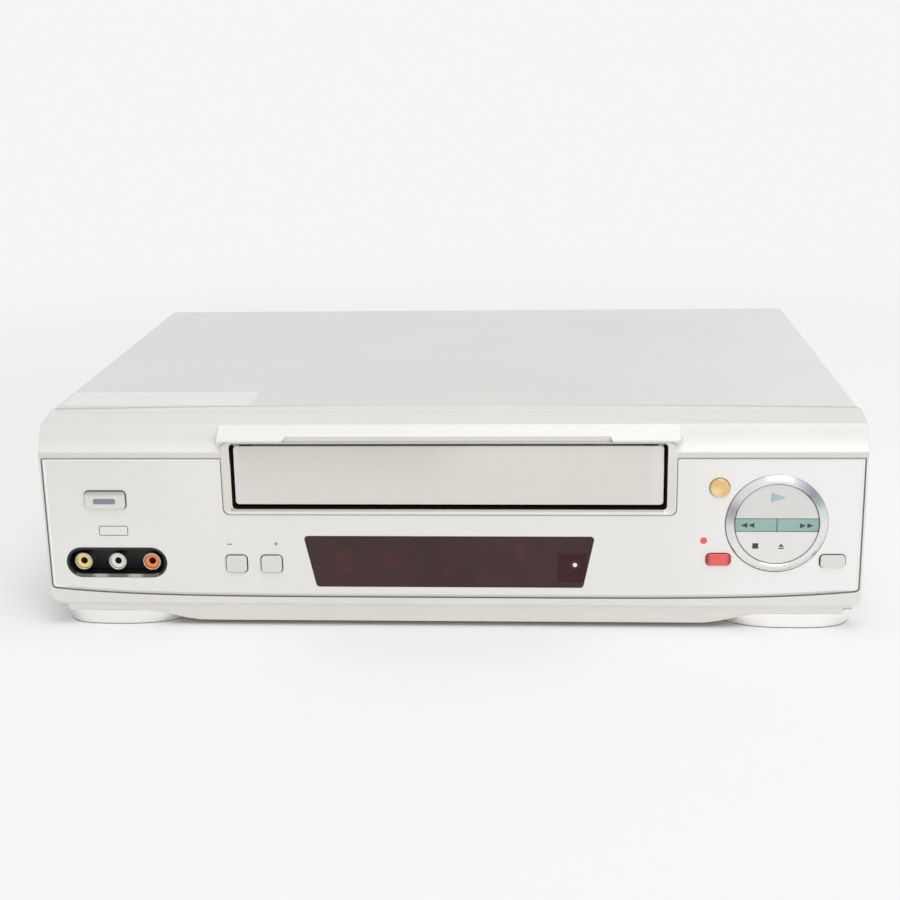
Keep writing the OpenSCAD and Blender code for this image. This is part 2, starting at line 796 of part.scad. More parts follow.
// Outline of the fascia plate, grown by a margin
module fascia_outline(margin) {
  x_end = fascia_w / 2 + margin;
  r = fascia_corner_r;
  steps = 40;
  low_z = fascia_edge(fascia_w / 2) - margin;
  polygon(concat(
    [[x_end, fascia_top_z + margin], [-x_end, fascia_top_z + margin]],
    [for (a = [180:15:255]) [-x_end + r + r * cos(a), low_z + r + r * sin(a)]],
    [for (i = [0:steps]) let (x = (x_end - r) * (2 * i / steps - 1)) [x, fascia_edge(x) - margin]],
    [for (a = [285:15:360]) [x_end - r + r * cos(a), low_z + r + r * sin(a)]]
  ));
}

// The opening round the cassette slot, shrunk by a margin, open at the top
module surround_shape(margin) {
  w = surround_w - 2 * margin;
  low = surround_low_z + margin;
  top = fascia_top_z + 10;
  translate([0, (low + top) / 2]) round_rect(w, top - low, surround_r);
}

// A flat bar with half-round ends, grown by a margin
module stadium(w, h, margin) {
  slot_shape([(h - w) / 2, 0], [(w - h) / 2, 0], h / 2 + margin);
}

// The display window's outline, wider at the top, grown by a margin
module window_shape(margin) {
  top_x = window_top_w / 2 - window_r;
  low_x = window_low_w / 2 - window_r;
  z = window_h / 2 - window_r;
  r = window_r + margin;
  lean = atan2(top_x - low_x, 2 * z);
  steps = 6;
  // each corner's centre, then the angles at which its arc starts and ends
  corners = [
    [[low_x, -z], -90, -lean], [[top_x, z], -lean, 90],
    [[-top_x, z], 90, 180 + lean], [[-low_x, -z], 180 + lean, 270]
  ];
  translate([0, window_mid_z]) polygon([
    for (c = corners, i = [0:steps]) let (a = c[1] + (c[2] - c[1]) * i / steps)
      c[0] + r * [cos(a), sin(a)]
  ]);
}

// Side view of the bezel's outer skin
module bezel_profile() {
  polygon([
    [seam_mid_y, body_h], [ridge_y, ridge_z], [0, band_low_z], [0, lip_z - 1.5], [0.9, lip_z - 1.5],
    [lip_lean, skirt_z - 0.5], [seam_mid_y, skirt_z - 0.5]
  ]);
}

// Side view of the space inside the bezel
module bezel_cavity_profile() {
  polygon([
    [far, body_h - bezel_wall], [seam_mid_y, body_h - bezel_wall],
    [ridge_y + 1, ridge_z - bezel_wall], [bezel_wall, band_low_z - 0.6],
    [bezel_wall, lip_z], [bezel_wall + lip_lean, -1], [far, -1]
  ]);
}

module hood_profile() {
  polygon([
    [ridge_y, ridge_z], [-hood_proud, hood_edge_z], [-hood_proud, hood_low_z],
    [surround_recess, hood_low_z], [surround_recess, slot_top_z],
    [bezel_wall, slot_top_z], [ridge_y + 1, ridge_z - bezel_wall]
  ]);
}

module hinge_cylinder(x0, x1, r) {
  translate([x0, hinge_y, hinge_z]) rotate([0, 90, 0]) cylinder(x1 - x0, r, r);
}

module front_bezel() color("gainsboro") placed() {
  door_x = slot_w / 2;
  boss_x = door_w / 2 + 1;
  difference() {
    union() {
      intersection() {
        difference() {
          rib(-half_w, half_w) bezel_profile();
          rib(-half_w + bezel_wall, half_w - bezel_wall) bezel_cavity_profile();
          slab(-5, fascia_back_y) fascia_outline(seam);
          slab(0, frame_back_y + 1) fascia_outline(-rim_w);
        }
        slab(-5, far) bezel_outline();
        before_seam(0);
      }
      // rim behind the fascia plate
      slab(fascia_back_y, frame_back_y) difference() {
        fascia_outline(seam);
        fascia_outline(-rim_w);
      }
      // frame round the cassette slot
      slab(fascia_back_y, frame_back_y)
        translate([0, (surround_low_z + slot_top_z) / 2 - 1.5])
          square([surround_w + 6, slot_top_z - surround_low_z + 3], center = true);
      slab(surround_recess, fascia_back_y) intersection() {
        surround_shape(seam);
        translate([-far / 2, 0]) square([far, fascia_top_z + seam + bite]);
      }
      rib(-hood_half_w, hood_half_w) hood_profile();
      // bosses that carry the door's pins
      both_sides()
        block([boss_x, 1.6, band_low_z - 2], [surround_w / 2 + 2, hinge_y + 2.6, hinge_z + 2.6]);
      // lip that tucks under the cover
      intersection() {
        block([-cover_x + 8, bezel_d - 4, body_h - bezel_wall],
          [cover_x - 8, seam_mid_y + 6, body_h - sheet_t - seam]);
        before_seam(6);
      }
      // ribs that the front board stands against
      both_sides() for (z = board_rib_zs)
        block([bay_x - 1, front_board_y - 3, z],
          [half_w - bezel_wall + bite, front_board_y, z + board_rib_h]);
    }
    slab(-5, frame_back_y + bite)
      translate([0, (slot_low_z + slot_top_z) / 2])
        square([slot_w, slot_top_z - slot_low_z], center = true);
    // pockets for the door's ears, with the spring beside the left one
    both_sides()
      block([door_w / 2 - door_ear_w - 6, hinge_y - door_ear_r - 0.3, band_low_z],
        [boss_x + bite, hinge_y + door_ear_r + 8, hinge_z + door_ear_r + 0.3]);
    both_sides() hinge_cylinder(boss_x - 1, door_w / 2 + door_pin_l + 0.4, door_pin_r + shaft_gap);
    // finger notch
    slab(-5, surround_recess) polygon([
      [-notch_w / 2 - notch_flare / 2, slot_top_z - bite], [notch_w / 2 + notch_flare / 2, slot_top_z - bite],
      [notch_w / 2, slot_top_z + notch_h], [-notch_w / 2, slot_top_z + notch_h]
    ]);
  }
}

module key_hole(pos, size) {
  translate(pos) round_rect(size[0] + 2 * key_gap, size[1] + 2 * key_gap, key_r + key_gap);
}

module front_fascia() color("silver") placed() {
  slab(fascia_y, fascia_back_y) difference() {
    fascia_outline(0);
    surround_shape(0);
    window_shape(seam / 2);
    key_hole(power_pos, power_size);
    key_hole(channel_down_pos, channel_size);
    key_hole(channel_up_pos, channel_size);
    key_hole(record_pos, record_size);
    key_hole(pause_pos, pause_size);
    translate(quick_pos) circle(quick_r + key_gap);
    translate(dial_pos) circle(ring_body_r + seam / 2);
    translate(av_pos) stadium(av_w, av_h, 0);
  }
}

module cassette_door() color("tan") placed() {
  difference() {
    slab(door_recess, door_recess + door_t)
      translate([0, (door_low_z + door_top_z) / 2])
        round_rect(door_w, door_top_z - door_low_z, 1.6);
    // notch behind the face that clears the spring
    block([-spring_x - seam, hinge_y - spring_r - 0.2, hinge_z - spring_r - 0.2],
      [-spring_x + spring_l + seam, far, far]);
  }
  both_sides() {
    hinge_cylinder(door_w / 2 - door_ear_w, door_w / 2, door_ear_r);
    hinge_cylinder(door_w / 2 - bite, door_w / 2 + door_pin_l, door_pin_r);
  }
  // stub inside the spring
  hinge_cylinder(-spring_x - seam - bite, -spring_x + spring_l, spring_r - 2 * spring_wire_r - 0.1);
}

// Coil round the hinge line, beside the door's left ear
module door_spring() color("dimgray") placed() {
  wire = spring_wire_r;
  steps = 8 * spring_turns;
  translate([-spring_x, hinge_y, hinge_z]) rotate([0, 90, 0]) rotate_extrude() polygon(concat(
    [for (i = [0:steps]) [spring_r - wire + wire * abs(sin(i * 22.5)) * 0.98, i * wire / 4]],
    [[spring_r - 2 * wire, steps * wire / 4], [spring_r - 2 * wire, 0]]
  ));
}

module display_window() color("#2a1014") placed() {
  slab(fascia_back_y - window_t - 0.1, fascia_back_y) window_shape(0);
  slab(fascia_back_y, fascia_back_y + 1) window_shape(window_flange);
}

module dial_ring() color("lightgray") placed() translate([dial_pos[0], 0, dial_pos[1]]) {
  face = fascia_y + ring_proud;
  translate([0, fascia_y, 0]) rotate([90, 0, 0]) rotate_extrude($fn = 96) polygon([
    [ring_in_r, fascia_y - ring_depth], [ring_body_r, fascia_y - ring_depth], [ring_body_r, 0],
    [ring_r, 0], [ring_r, 0.3], [ring_in_r + 1.4, face], [ring_in_r + 0.7, face], [ring_in_r, face - 0.7]
  ]);
}

// A key with its flange and stem. The children draw the key, then its flange
module key(front_y, back_y, stem_pos) {
  slab(front_y, back_y + bite) children(0);
  slab(back_y, back_y + key_flange_t) children(1);
  translate([stem_pos[0], back_y, stem_pos[1]]) rotate([-90, 0, 0])
    cylinder(stem_y - back_y, stem_r, stem_r);
}

module small_key(pos, size) {
  key(-key_proud, flange_y, pos) {
    translate(pos) round_rect(size[0], size[1], key_r);
    translate(pos) round_rect(size[0] + 2 * key_flange_w, size[1] + 2 * key_flange_w, key_r);
  }
}

module power_button() color("gainsboro") placed() difference() {
  small_key(power_pos, power_size);
  slab(-5, lens_t - key_proud) translate(lens_pos) round_rect(lens_size[0], lens_size[1], 0.8);
}

module power_lamp_lens() color("slategray") placed()
  slab(-key_proud, lens_t - key_proud) translate(lens_pos) round_rect(lens_size[0], lens_size[1], 0.8);

module channel_down_button() color("gainsboro") placed() small_key(channel_down_pos, channel_size);
module channel_up_button() color("gainsboro") placed() small_key(channel_up_pos, channel_size);
module record_button() color("firebrick") placed() small_key(record_pos, record_size);
module pause_button() color("gainsboro") placed() small_key(pause_pos, pause_size);

module quick_play_button() color("goldenrod") placed() key(-key_proud, flange_y, quick_pos) {
  translate(quick_pos) circle(quick_r);
  translate(quick_pos) circle(quick_r + key_flange_w);
}

// A dial key's outline: part of a disc between two heights and two widths
module dial_piece(r, low, high, left, right) {
  translate(dial_pos) intersection() {
    circle(r, $fn = 96);
    translate([left, low]) square([right - left, high - low]);
  }
}

module dial_key(low, high, left, right, stem) {
  flange_r = ring_in_r + key_flange_w;
  g = key_gap / 2;
  key(fascia_y - 0.9, ring_depth + seam, dial_pos + stem) {
    dial_piece(ring_in_r - key_gap, low + g, high - g, left + g, right - g);
    dial_piece(flange_r, low + 2 * g, high - 2 * g, left + 2 * g, right - 2 * g);
  }
}

module play_button() color("silver") placed()
  dial_key(bar_high, ring_r, -ring_r, ring_r, [0, dial_stem_off]);
module stop_eject_button() color("silver") placed()
  dial_key(-ring_r, bar_low, -ring_r, ring_r, [0, -dial_stem_off]);
module rewind_button() color("cadetblue") placed()
  dial_key(bar_low, bar_high, -ring_r, 0, [-dial_stem_off, bar_mid]);
module fast_forward_button() color("cadetblue") placed()
  dial_key(bar_low, bar_high, 0, ring_r, [dial_stem_off, bar_mid]);

function av_x(i) = av_pos[0] + (i - 1) * av_pitch;

module front_jack_housing() color("#202224") placed() {
  difference() {
    slab(fascia_y + 0.1, av_depth + 1.5) translate(av_pos) stadium(av_w, av_h, -seam / 2);
    slab(-1, av_depth) translate(av_pos) stadium(av_w, av_h, -av_wall);
  }
  slab(fascia_back_y, fascia_back_y + 1.2) difference() {
    translate(av_pos) stadium(av_w, av_h, 1.4);
    translate(av_pos) stadium(av_w, av_h, -av_wall);
  }
  for (i = [0:2])
    translate([av_x(i), av_depth + 1, av_pos[1]]) rotate([-90, 0, 0])
      cylinder(front_board_y - av_depth - 1, 2.4, 2.4);
}

// One jack's metal shell, from its seat towards a plug
module jack_shell() difference() {
  cylinder(jack_l, jack_r, jack_r);
  translate([0, 0, -1]) cylinder(jack_l + 2, jack_in_r, jack_in_r);
}

function rear_jack(c, r) = [
  rear_block_pos[0] + (c - (rear_columns - 1) / 2) * rear_pitch,
  rear_block_pos[1] + (r - (rear_rows - 1) / 2) * rear_pitch
];

module jack_shells() color("gainsboro") placed() {
  for (i = [0:2])
    translate([av_x(i), av_depth, av_pos[1]]) rotate([90, 0, 0]) jack_shell();
  for (c = [0:rear_columns - 1], r = [0:rear_rows - 1])
    translate([rear_jack(c, r)[0], body_d, rear_jack(c, r)[1]]) rotate([-90, 0, 0]) jack_shell();
}

// Coloured plastic inside a front jack, bored for the plug's pin
module jack_insert(i) {
  length = jack_l - 1.2;
  translate([av_x(i), av_depth, av_pos[1]]) rotate([90, 0, 0]) difference() {
    cylinder(length, jack_in_r - 0.1, jack_in_r - 0.1);
    translate([0, 0, length - jack_bore_l]) cylinder(jack_l, jack_bore_r, jack_bore_r);
  }
}

module video_jack_insert() color("gold") placed() jack_insert(0);
module audio_left_jack_insert() color("white") placed() jack_insert(1);
module audio_right_jack_insert() color("orangered") placed() jack_insert(2);

module top_cover() color("lightgray") placed() {
  side_low_z = base_z + 0.3;
  rear_in_y = body_d - sheet_t;
  difference() {
    union() {
      difference() {
        slab(bezel_d - 2, body_d) intersection() {
          translate([0, body_h / 2]) round_rect(2 * cover_x, body_h, cover_bend_r);
          translate([-far / 2, side_low_z]) square([far, far]);
        }
        slab(bezel_d - 5, far) intersection() {
          translate([0, body_h / 2])
            round_rect(2 * (cover_x - sheet_t), body_h - 2 * sheet_t, cover_bend_r - sheet_t);
          translate([-far / 2, 0]) square([far, far]);
        }
        translate([-far / 2, bezel_d - 5, -1]) cube([far, far, side_low_z + 1]);
      }
      block([-cover_x + 4, rear_in_y, body_h - sheet_t - cover_flange_h],
        [cover_x - 4, body_d, body_h - sheet_t + bite]);
    }
    before_seam(seam);
    for (x = rear_screw_xs)
      translate([x, rear_in_y - 1, rear_screw_z]) rotate([-90, 0, 0])
        cylinder(sheet_t + 2, screw_r + screw_gap, screw_r + screw_gap);
  }
}

module board_post(pos, z1) {
  translate([pos[0], pos[1], pan_top_z - bite]) cylinder(z1 - pan_top_z + bite, board_post_r, board_post_r);
}

module base_pan() color("silver") placed() difference() {
  union() {
    block([-pan_front_x, bezel_wall + lip_lean + seam, base_z], [pan_front_x, panel_y, pan_top_z]);
    block([-pan_x, pan_side_y, base_z], [pan_x, panel_y, pan_top_z]);
    both_sides() block([pan_x - sheet_t, pan_side_y, base_z], [pan_x, panel_y, base_z + pan_flange_h]);
    for (x = [-post_x, post_x], y = post_ys)
      translate([x, y, pan_top_z - bite]) cylinder(deck_low_z - pan_top_z + bite, post_r, post_r);
    for (p = concat(main_posts, power_posts)) board_post(p, board_z);
  }
  for (x = [-post_x, post_x], y = post_ys)
    translate([x, y, deck_low_z - screw_l]) cylinder(screw_l + 1, screw_r + screw_gap, screw_r + screw_gap);
  both_sides() for (i = [0:pan_vents - 1])
    layer(0, pan_top_z + 1)
      translate([half_w - pan_vent_place[0], pan_vent_place[1] + i * vent_pitch])
        round_rect(vent_l, vent_w, vent_w / 2 - bite);
}

module rear_panel() color("silver") placed() difference() {
  slab(panel_y, panel_y + sheet_t) translate([0, (pan_top_z + body_h - sheet_t) / 2])
    square([2 * pan_x - 4, body_h - sheet_t - pan_top_z - seam], center = true);
  slab(panel_y - 1, far) translate(rear_block_pos)
    square([rear_columns * rear_pitch, rear_rows * rear_pitch], center = true);
  for (s = [-1, 1])
    translate([aerial_pos[0], 0, aerial_pos[1] + s * aerial_pitch / 2]) rotate([-90, 0, 0])
      cylinder(far, aerial_r + 1.2, aerial_r + 1.2);
  slab(panel_y - 1, far) translate(gland_pos) stadium(gland_slot[0] + 4, gland_slot[1] + 4, 0);
  for (x = rear_screw_xs)
    translate([x, panel_y - 1, rear_screw_z]) rotate([-90, 0, 0])
      cylinder(sheet_t + 2, screw_r + screw_gap, screw_r + screw_gap);
  for (i = [0:pan_vents - 1])
    slab(panel_y - 1, far) translate(rear_vent_pos + [i * vent_pitch, 0])
      round_rect(vent_w, vent_l / 2, vent_w / 2 - bite);
}

// A front foot's flat outline, with its curved front
module foot_shape(margin) {
  intersection() {
    translate([foot_x, foot_y + foot_d / 2]) round_rect(foot_w - 2 * margin, foot_d - 2 * margin, foot_r);
    translate([foot_x, foot_y + foot_front_r]) circle(foot_front_r - margin, $fn = 160);
  }
}

module front_feet() color("whitesmoke") placed() both_sides() {
  layer(0, foot_rim_h) foot_shape(0);
  layer(foot_rim_h - bite, base_z) foot_shape(bezel_wall + lip_lean);
}

module rear_feet() color("#303030") placed() both_sides()
  translate([foot_x, body_d - rear_foot_in, 0]) {
    cylinder(2, rear_foot_r - 1, rear_foot_r);
    translate([0, 0, 2 - bite]) cylinder(base_z - 2 + bite, rear_foot_r, rear_foot_r);
  }

// A screw with its head up and its shank below the origin
module screw() {
  cylinder(screw_head_t, screw_head_r, screw_head_r);
  translate([0, 0, -screw_l + 0.5]) cylinder(screw_l - 0.5 + bite, screw_r, screw_r);
}

module screws() color("gray") placed() {
  for (x = rear_screw_xs)
    translate([x, body_d, rear_screw_z]) rotate([-90, 0, 0]) screw();
  for (x = [-post_x, post_x], y = post_ys) translate([x, y, deck_z]) screw();
}

module front_board() color("darkgreen") placed() slab(front_board_y, front_board_y + board_t) {
  translate([-bay_x, front_board_low_z]) square([2 * bay_x, front_board_mid_z - front_board_low_z]);
  for (s = [-1, 1])
    translate([s * (bay_x + front_board_half_w) / 2, (front_board_low_z + front_board_top_z) / 2])
      square([bay_x - front_board_half_w, front_board_top_z - front_board_low_z], center = true);
}

module key_switches() color("#222222") placed() for (p = key_stems) {
  translate([p[0] - switch_w / 2, switch_front_y, p[1] - switch_w / 2]) cube([switch_w, switch_t, switch_w]);
  translate([p[0], plunger_y, p[1]]) rotate([-90, 0, 0]) cylinder(plunger_l + bite, stem_r, stem_r);
}

module display_tube() color("#3a4a48") placed() {
  tube_y = flange_y + 4;
  block([-tube_w / 2, tube_y, window_mid_z - tube_h / 2],
    [tube_w / 2, tube_y + tube_t, window_mid_z + tube_h / 2]);
  block([-tube_w / 2 + 6, tube_y + tube_t - bite, window_mid_z - tube_h / 2 + 3],
    [tube_w / 2 - 6, front_board_y, window_mid_z + tube_h / 2 - 3]);
}

module main_board() color("darkgreen") placed() layer(board_z, part_z) difference() {
  union() {
    translate([-bay_x, main_board_y]) square([bay_w, panel_y - board_back_gap - main_board_y]);
    translate([-bay_x, main_board_y]) square([bay_x + main_front_x, main_front_d]);
  }
  for (x = [-post_x, post_x], y = post_ys) translate([x, y]) circle(post_r + 1);
}

module power_board() color("darkgreen") placed()
  layer(board_z, part_z) translate([power_board_x, power_board_y]) square([bay_w, power_board_d]);

// Chips and capacitors of one board, from its front left corner
module parts_on_board(corner, chips, caps) translate([corner[0], corner[1], part_z]) {
  for (c = chips) translate([c[0] - c[2] / 2, c[1] - c[3] / 2, 0]) cube([c[2], c[3], c[4]]);
  for (c = caps) translate([c[0], c[1], 0]) cylinder(c[3], c[2], c[2]);
}

module board_components() color("#26282a") placed() {
  parts_on_board([-bay_x, main_board_y], main_chips, main_caps);
  parts_on_board([power_board_x, power_board_y], power_chips, power_caps);
}

// The transformer's base, core and winding
module power_transformer() color("goldenrod") placed()
  translate([transformer_pos[0], transformer_pos[1], part_z]) {
    foot = [winding_size[0], transformer_size[1], 6];
    for (size = [foot, transformer_size]) translate([-size[0] / 2, -size[1] / 2, 0]) cube(size);
    translate([0, 0, transformer_size[2] * 0.6]) cube(winding_size, center = true);
  }

module tuner_can() color("gainsboro") placed() difference() {
  union() {
    block([aerial_pos[0] - tuner_size[0] / 2, panel_y - tuner_size[1], part_z],
      [aerial_pos[0] + tuner_size[0] / 2, panel_y, aerial_pos[1] + aerial_pitch / 2 + 9]);
    for (s = [-1, 1])
      translate([aerial_pos[0], panel_y - bite, aerial_pos[1] + s * aerial_pitch / 2]) rotate([-90, 0, 0])
        cylinder(sheet_t + aerial_l + bite, aerial_r, aerial_r);
  }
  for (s = [-1, 1])
    translate([aerial_pos[0], panel_y + 1, aerial_pos[1] + s * aerial_pitch / 2]) rotate([-90, 0, 0])
      cylinder(far, aerial_bore_r, aerial_bore_r);
}

module rear_jack_block() color("#202224") placed() {
  w = rear_columns * rear_pitch;
  h = rear_rows * rear_pitch;
  slab(panel_y - rear_block_d, panel_y) translate(rear_block_pos) square([w + 4, h + 4], center = true);
  slab(panel_y - bite, body_d) translate(rear_block_pos) square([w - 2 * seam, h - 2 * seam], center = true);
  // legs down to the main board
  for (s = [-1, 1])
    block([rear_block_pos[0] + s * 8 - 2, panel_y - rear_block_d + 2, part_z],
      [rear_block_pos[0] + s * 8 + 2, panel_y - rear_block_d + 6, rear_block_pos[1] - h / 2 - 2 + bite]);
  for (c = [0:rear_columns - 1], r = [0:rear_rows - 1])
    translate([rear_jack(c, r)[0], body_d - bite, rear_jack(c, r)[1]]) rotate([-90, 0, 0]) difference() {
      cylinder(jack_l - 1.2, jack_in_r - 0.1, jack_in_r - 0.1);
      translate([0, 0, jack_l - 1.2 - jack_bore_l]) cylinder(jack_l, jack_bore_r, jack_bore_r);
    }
}

module mains_gland() color("#202224") placed() difference() {
  union() {
    slab(panel_y - 5, panel_y + sheet_t) translate(gland_pos)
      stadium(gland_slot[0] + 4, gland_slot[1] + 4, -seam);
    slab(panel_y + sheet_t, panel_y + sheet_t + 2.5) translate(gland_pos)
      stadium(gland_slot[0] + 4, gland_slot[1] + 4, 2);
  }
  slab(panel_y - 10, far) translate(gland_pos) stadium(gland_slot[0], gland_slot[1], 0);
}

function guide_at(side, p) = [side * p[0], p[1]];

module deck_chassis() color("silver") placed() {
  difference() {
    union() {
      layer(deck_low_z, deck_z) translate([-deck_w / 2, deck_y]) square([deck_w, deck_d]);
      // fixed pins for the reels, idler arm, pinch arm and cam gear
      for (s = [-1, 1]) axle([s * reel_pitch / 2, reel_y], deck_z - bite, reel_z + reel_t + 6);
      axle(idler_pivot, deck_z - bite, deck_z + 12);
      axle(pinch_pos, deck_z - bite, pinch_z + 6);
      axle(cam_pos, deck_z - bite, cam_z + cam_t + 2);
      // collars that the turning pieces rest on
      for (s = [-1, 1]) collar([s * reel_pitch / 2, reel_y], reel_z);
      collar(idler_pivot, reel_z + reel_t + 0.6);
      collar(pinch_pos, pinch_z);
      collar(cam_pos, cam_z);
      // saddle for the loading motor
      motor_x = cam_pos[0] + worm_l / 2 + 3;
      block([motor_x + 2, worm_y - 6, deck_z - bite], [motor_x + motor_l - 2, worm_y + 6, worm_z - 4]);
    }
    loading_motor_body(seam);
    translate([capstan_pos[0], capstan_pos[1], 0]) cylinder(far, bearing_r + seam, bearing_r + seam);
    for (x = [-post_x, post_x], y = post_ys)
      translate([x, y, 0]) cylinder(far, screw_r + screw_gap, screw_r + screw_gap);
    for (s = [-1, 1]) layer(0, far)
      slot_shape(guide_at(s, guide_start), guide_at(s, guide_end), guide_pin_r + 0.4);
  }
  // stub under the deck that the clutch pulley turns on
  axle(idler_pivot, belt_z - 3, deck_low_z + bite);
}

module axle(pos, z0, z1) {
  translate([pos[0], pos[1], z0]) cylinder(z1 - z0, axle_r, axle_r);
}

module collar(pos, z1) {
  translate([pos[0], pos[1], deck_z - bite]) cylinder(z1 - deck_z - 0.1 + bite, axle_r + 1.6, axle_r + 1.6);
}

// A hole for a fixed pin through a turning piece
module axle_hole() {
  translate([0, 0, -far / 2]) cylinder(far, axle_r + shaft_gap, axle_r + shaft_gap);
}

module drum_frame() {
  translate([0, drum_y, deck_z + drum_split]) rotate([drum_lean, 0, 0]) children();
}

module lower_drum() color("lightgray") placed() {
  difference() {
    union() {
      drum_frame() translate([0, 0, -drum_low_h]) cylinder(drum_low_h, drum_r, drum_r, $fn = 96);
      // foot that stands on the deck plate
      intersection() {
        drum_frame() translate([0, 0, -drum_low_h - 12]) cylinder(12 + bite, 18, 18);
        layer(deck_z, far) translate([-25, drum_y - 25]) square(50);
      }
    }
    drum_frame() translate([0, 0, -drum_low_h])
      cylinder(far, drum_shaft_r + shaft_gap, drum_shaft_r + shaft_gap);
  }
}

module upper_drum() color("gainsboro") placed() drum_frame() {
  translate([0, 0, drum_gap]) cylinder(drum_top_h, drum_r, drum_r, $fn = 96);
  translate([0, 0, -drum_low_h + 0.5]) cylinder(drum_low_h + 1, drum_shaft_r, drum_shaft_r);
  translate([0, 0, drum_gap + drum_top_h - bite]) cylinder(2, 12, 11);
}

module at_capstan(z) {
  translate([capstan_pos[0], capstan_pos[1], z]) children();
}

module capstan_motor() color("slategray") placed() difference() {
  union() {
    at_capstan(deck_low_z - stator_t) cylinder(stator_t, stator_r, stator_r);
    at_capstan(deck_low_z - bite) cylinder(deck_t + bearing_h, bearing_r, bearing_r);
  }
  at_capstan(0) cylinder(far, capstan_r + shaft_gap, capstan_r + shaft_gap);
}

module capstan_flywheel() color("lightgray") placed() {
  at_capstan(flywheel_z) cylinder(flywheel_t, flywheel_r, flywheel_r, $fn = 96);
  at_capstan(flywheel_z) cylinder(deck_z + capstan_h - flywheel_z, capstan_r, capstan_r);
  at_capstan(flywheel_z - pulley_t) grooved_pulley(pulley_r);
}

// A pulley with a groove that clears the belt
module grooved_pulley(r) {
  groove_w = belt_w + 0.4;
  difference() {
    cylinder(pulley_t + bite, r, r, $fn = 64);
    translate([0, 0, (pulley_t - groove_w) / 2]) difference() {
      cylinder(groove_w, r + 1, r + 1, $fn = 64);
      translate([0, 0, -1]) cylinder(groove_w + 2, r - belt_w - 0.2, r - belt_w - 0.2, $fn = 64);
    }
  }
}

function pinch_end() = pinch_pos + pinch_l * [cos(pinch_rest), sin(pinch_rest)];

module pinch_arm() color("gray") placed() difference() {
  union() {
    layer(pinch_z, pinch_z + 3) slot_shape(pinch_pos, pinch_end(), 4.5);
    translate([pinch_end()[0], pinch_end()[1], pinch_z])
      cylinder(roller_z - pinch_z + roller_h + 1, axle_r, axle_r);
  }
  translate([pinch_pos[0], pinch_pos[1], 0]) axle_hole();
}

module pinch_roller() color("#1c1c1c") placed()
  translate([pinch_end()[0], pinch_end()[1], roller_z]) difference() {
    cylinder(roller_h, roller_r, roller_r);
    axle_hole();
  }

// A reel table with teeth, a spindle and three fins
module reel() difference() {
  union() {
    cylinder(2, reel_r - tooth_h - 0.4, reel_r - tooth_h - 0.4);
    translate([0, 0, 2 - bite]) linear_extrude(reel_t - 2 + bite) gear_shape(reel_r, reel_teeth);
    translate([0, 0, reel_t - bite]) cylinder(spindle_h, spindle_r, spindle_r);
    for (a = [0, 120, 240]) rotate(a)
      translate([0, -0.8, reel_t - bite]) cube([spindle_r + 2.6, 1.6, spindle_h - 3]);
  }
  translate([0, 0, -1]) cylinder(reel_t + 8, axle_r + shaft_gap, axle_r + shaft_gap);
}

module supply_reel() color("white") placed() translate([-reel_pitch / 2, reel_y, reel_z]) reel();
module take_up_reel() color("white") placed() translate([reel_pitch / 2, reel_y, reel_z]) reel();

module idler_arm() color("ivory") placed() difference() {
  union() {
    layer(idler_z, idler_z + 2) slot_shape(idler_pivot, idler_pivot - [0, idler_l], 4);
    translate([0, idler_y - idler_l, reel_z + 2]) cylinder(idler_z - reel_z - 2 + bite, axle_r, axle_r);
  }
  translate([0, idler_y, 0]) axle_hole();
}

module idler_gear() color("ivory") placed() translate([0, idler_y - idler_l, reel_z + 2]) difference() {
  linear_extrude(reel_t - 2) gear_shape(idler_r, idler_teeth);
  axle_hole();
}

module clutch_pulley() color("ivory") placed() translate([0, idler_y, belt_z - pulley_t / 2]) difference() {
  union() {
    grooved_pulley(clutch_r);
    translate([0, 0, pulley_t]) cylinder(deck_low_z - belt_z - pulley_t / 2 - seam, 4, 4);
  }
  axle_hole();
}

// The belt's outline: two arcs in the grooves and the straights that join them
module belt_outline(margin) {
  span = norm(capstan_pos - idler_pivot);
  flank = acos((clutch_r - pulley_r) / span);
  steps = 24;
  translate(idler_pivot) rotate(atan2(capstan_pos[1] - idler_pivot[1], capstan_pos[0] - idler_pivot[0]))
    polygon(concat(
      [for (i = [0:steps]) let (a = flank + (360 - 2 * flank) * i / steps)
        (clutch_r + margin) * [cos(a), sin(a)]],
      [for (i = [0:steps]) let (a = -flank + 2 * flank * i / steps)
        [span, 0] + (pulley_r + margin) * [cos(a), sin(a)]]
    ));
}

module drive_belt() color("#181818") placed() layer(belt_z - belt_w / 2, belt_z + belt_w / 2) difference() {
  belt_outline(-0.1);
  belt_outline(-0.1 - belt_w);
}

// Body of the loading motor, grown by a margin
module loading_motor_body(margin) {
  translate([cam_pos[0] + worm_l / 2 + 3 - margin, worm_y, worm_z]) rotate([0, 90, 0])
    cylinder(motor_l + 2 * margin, motor_r + margin, motor_r + margin);
}

module loading_motor() color("silver") placed() difference() {
  loading_motor_body(0);
  translate([cam_pos[0], worm_y, worm_z]) rotate([0, 90, 0])
    cylinder(worm_l / 2 + 3 + motor_l / 2, axle_r + shaft_gap, axle_r + shaft_gap);
}

module worm_gear() color("ivory") placed() translate([cam_pos[0], worm_y, worm_z]) rotate([0, 90, 0]) {
  turns = floor(worm_l / worm_pitch);
  translate([0, 0, -worm_l / 2])
    linear_extrude(turns * worm_pitch, twist = -360 * turns, slices = 8 * turns, $fn = 10)
    translate([tooth_h / 2, 0]) circle(worm_r - tooth_h / 2);
  cylinder(worm_l / 2 + 2.5 + motor_l / 2, axle_r, axle_r);
}

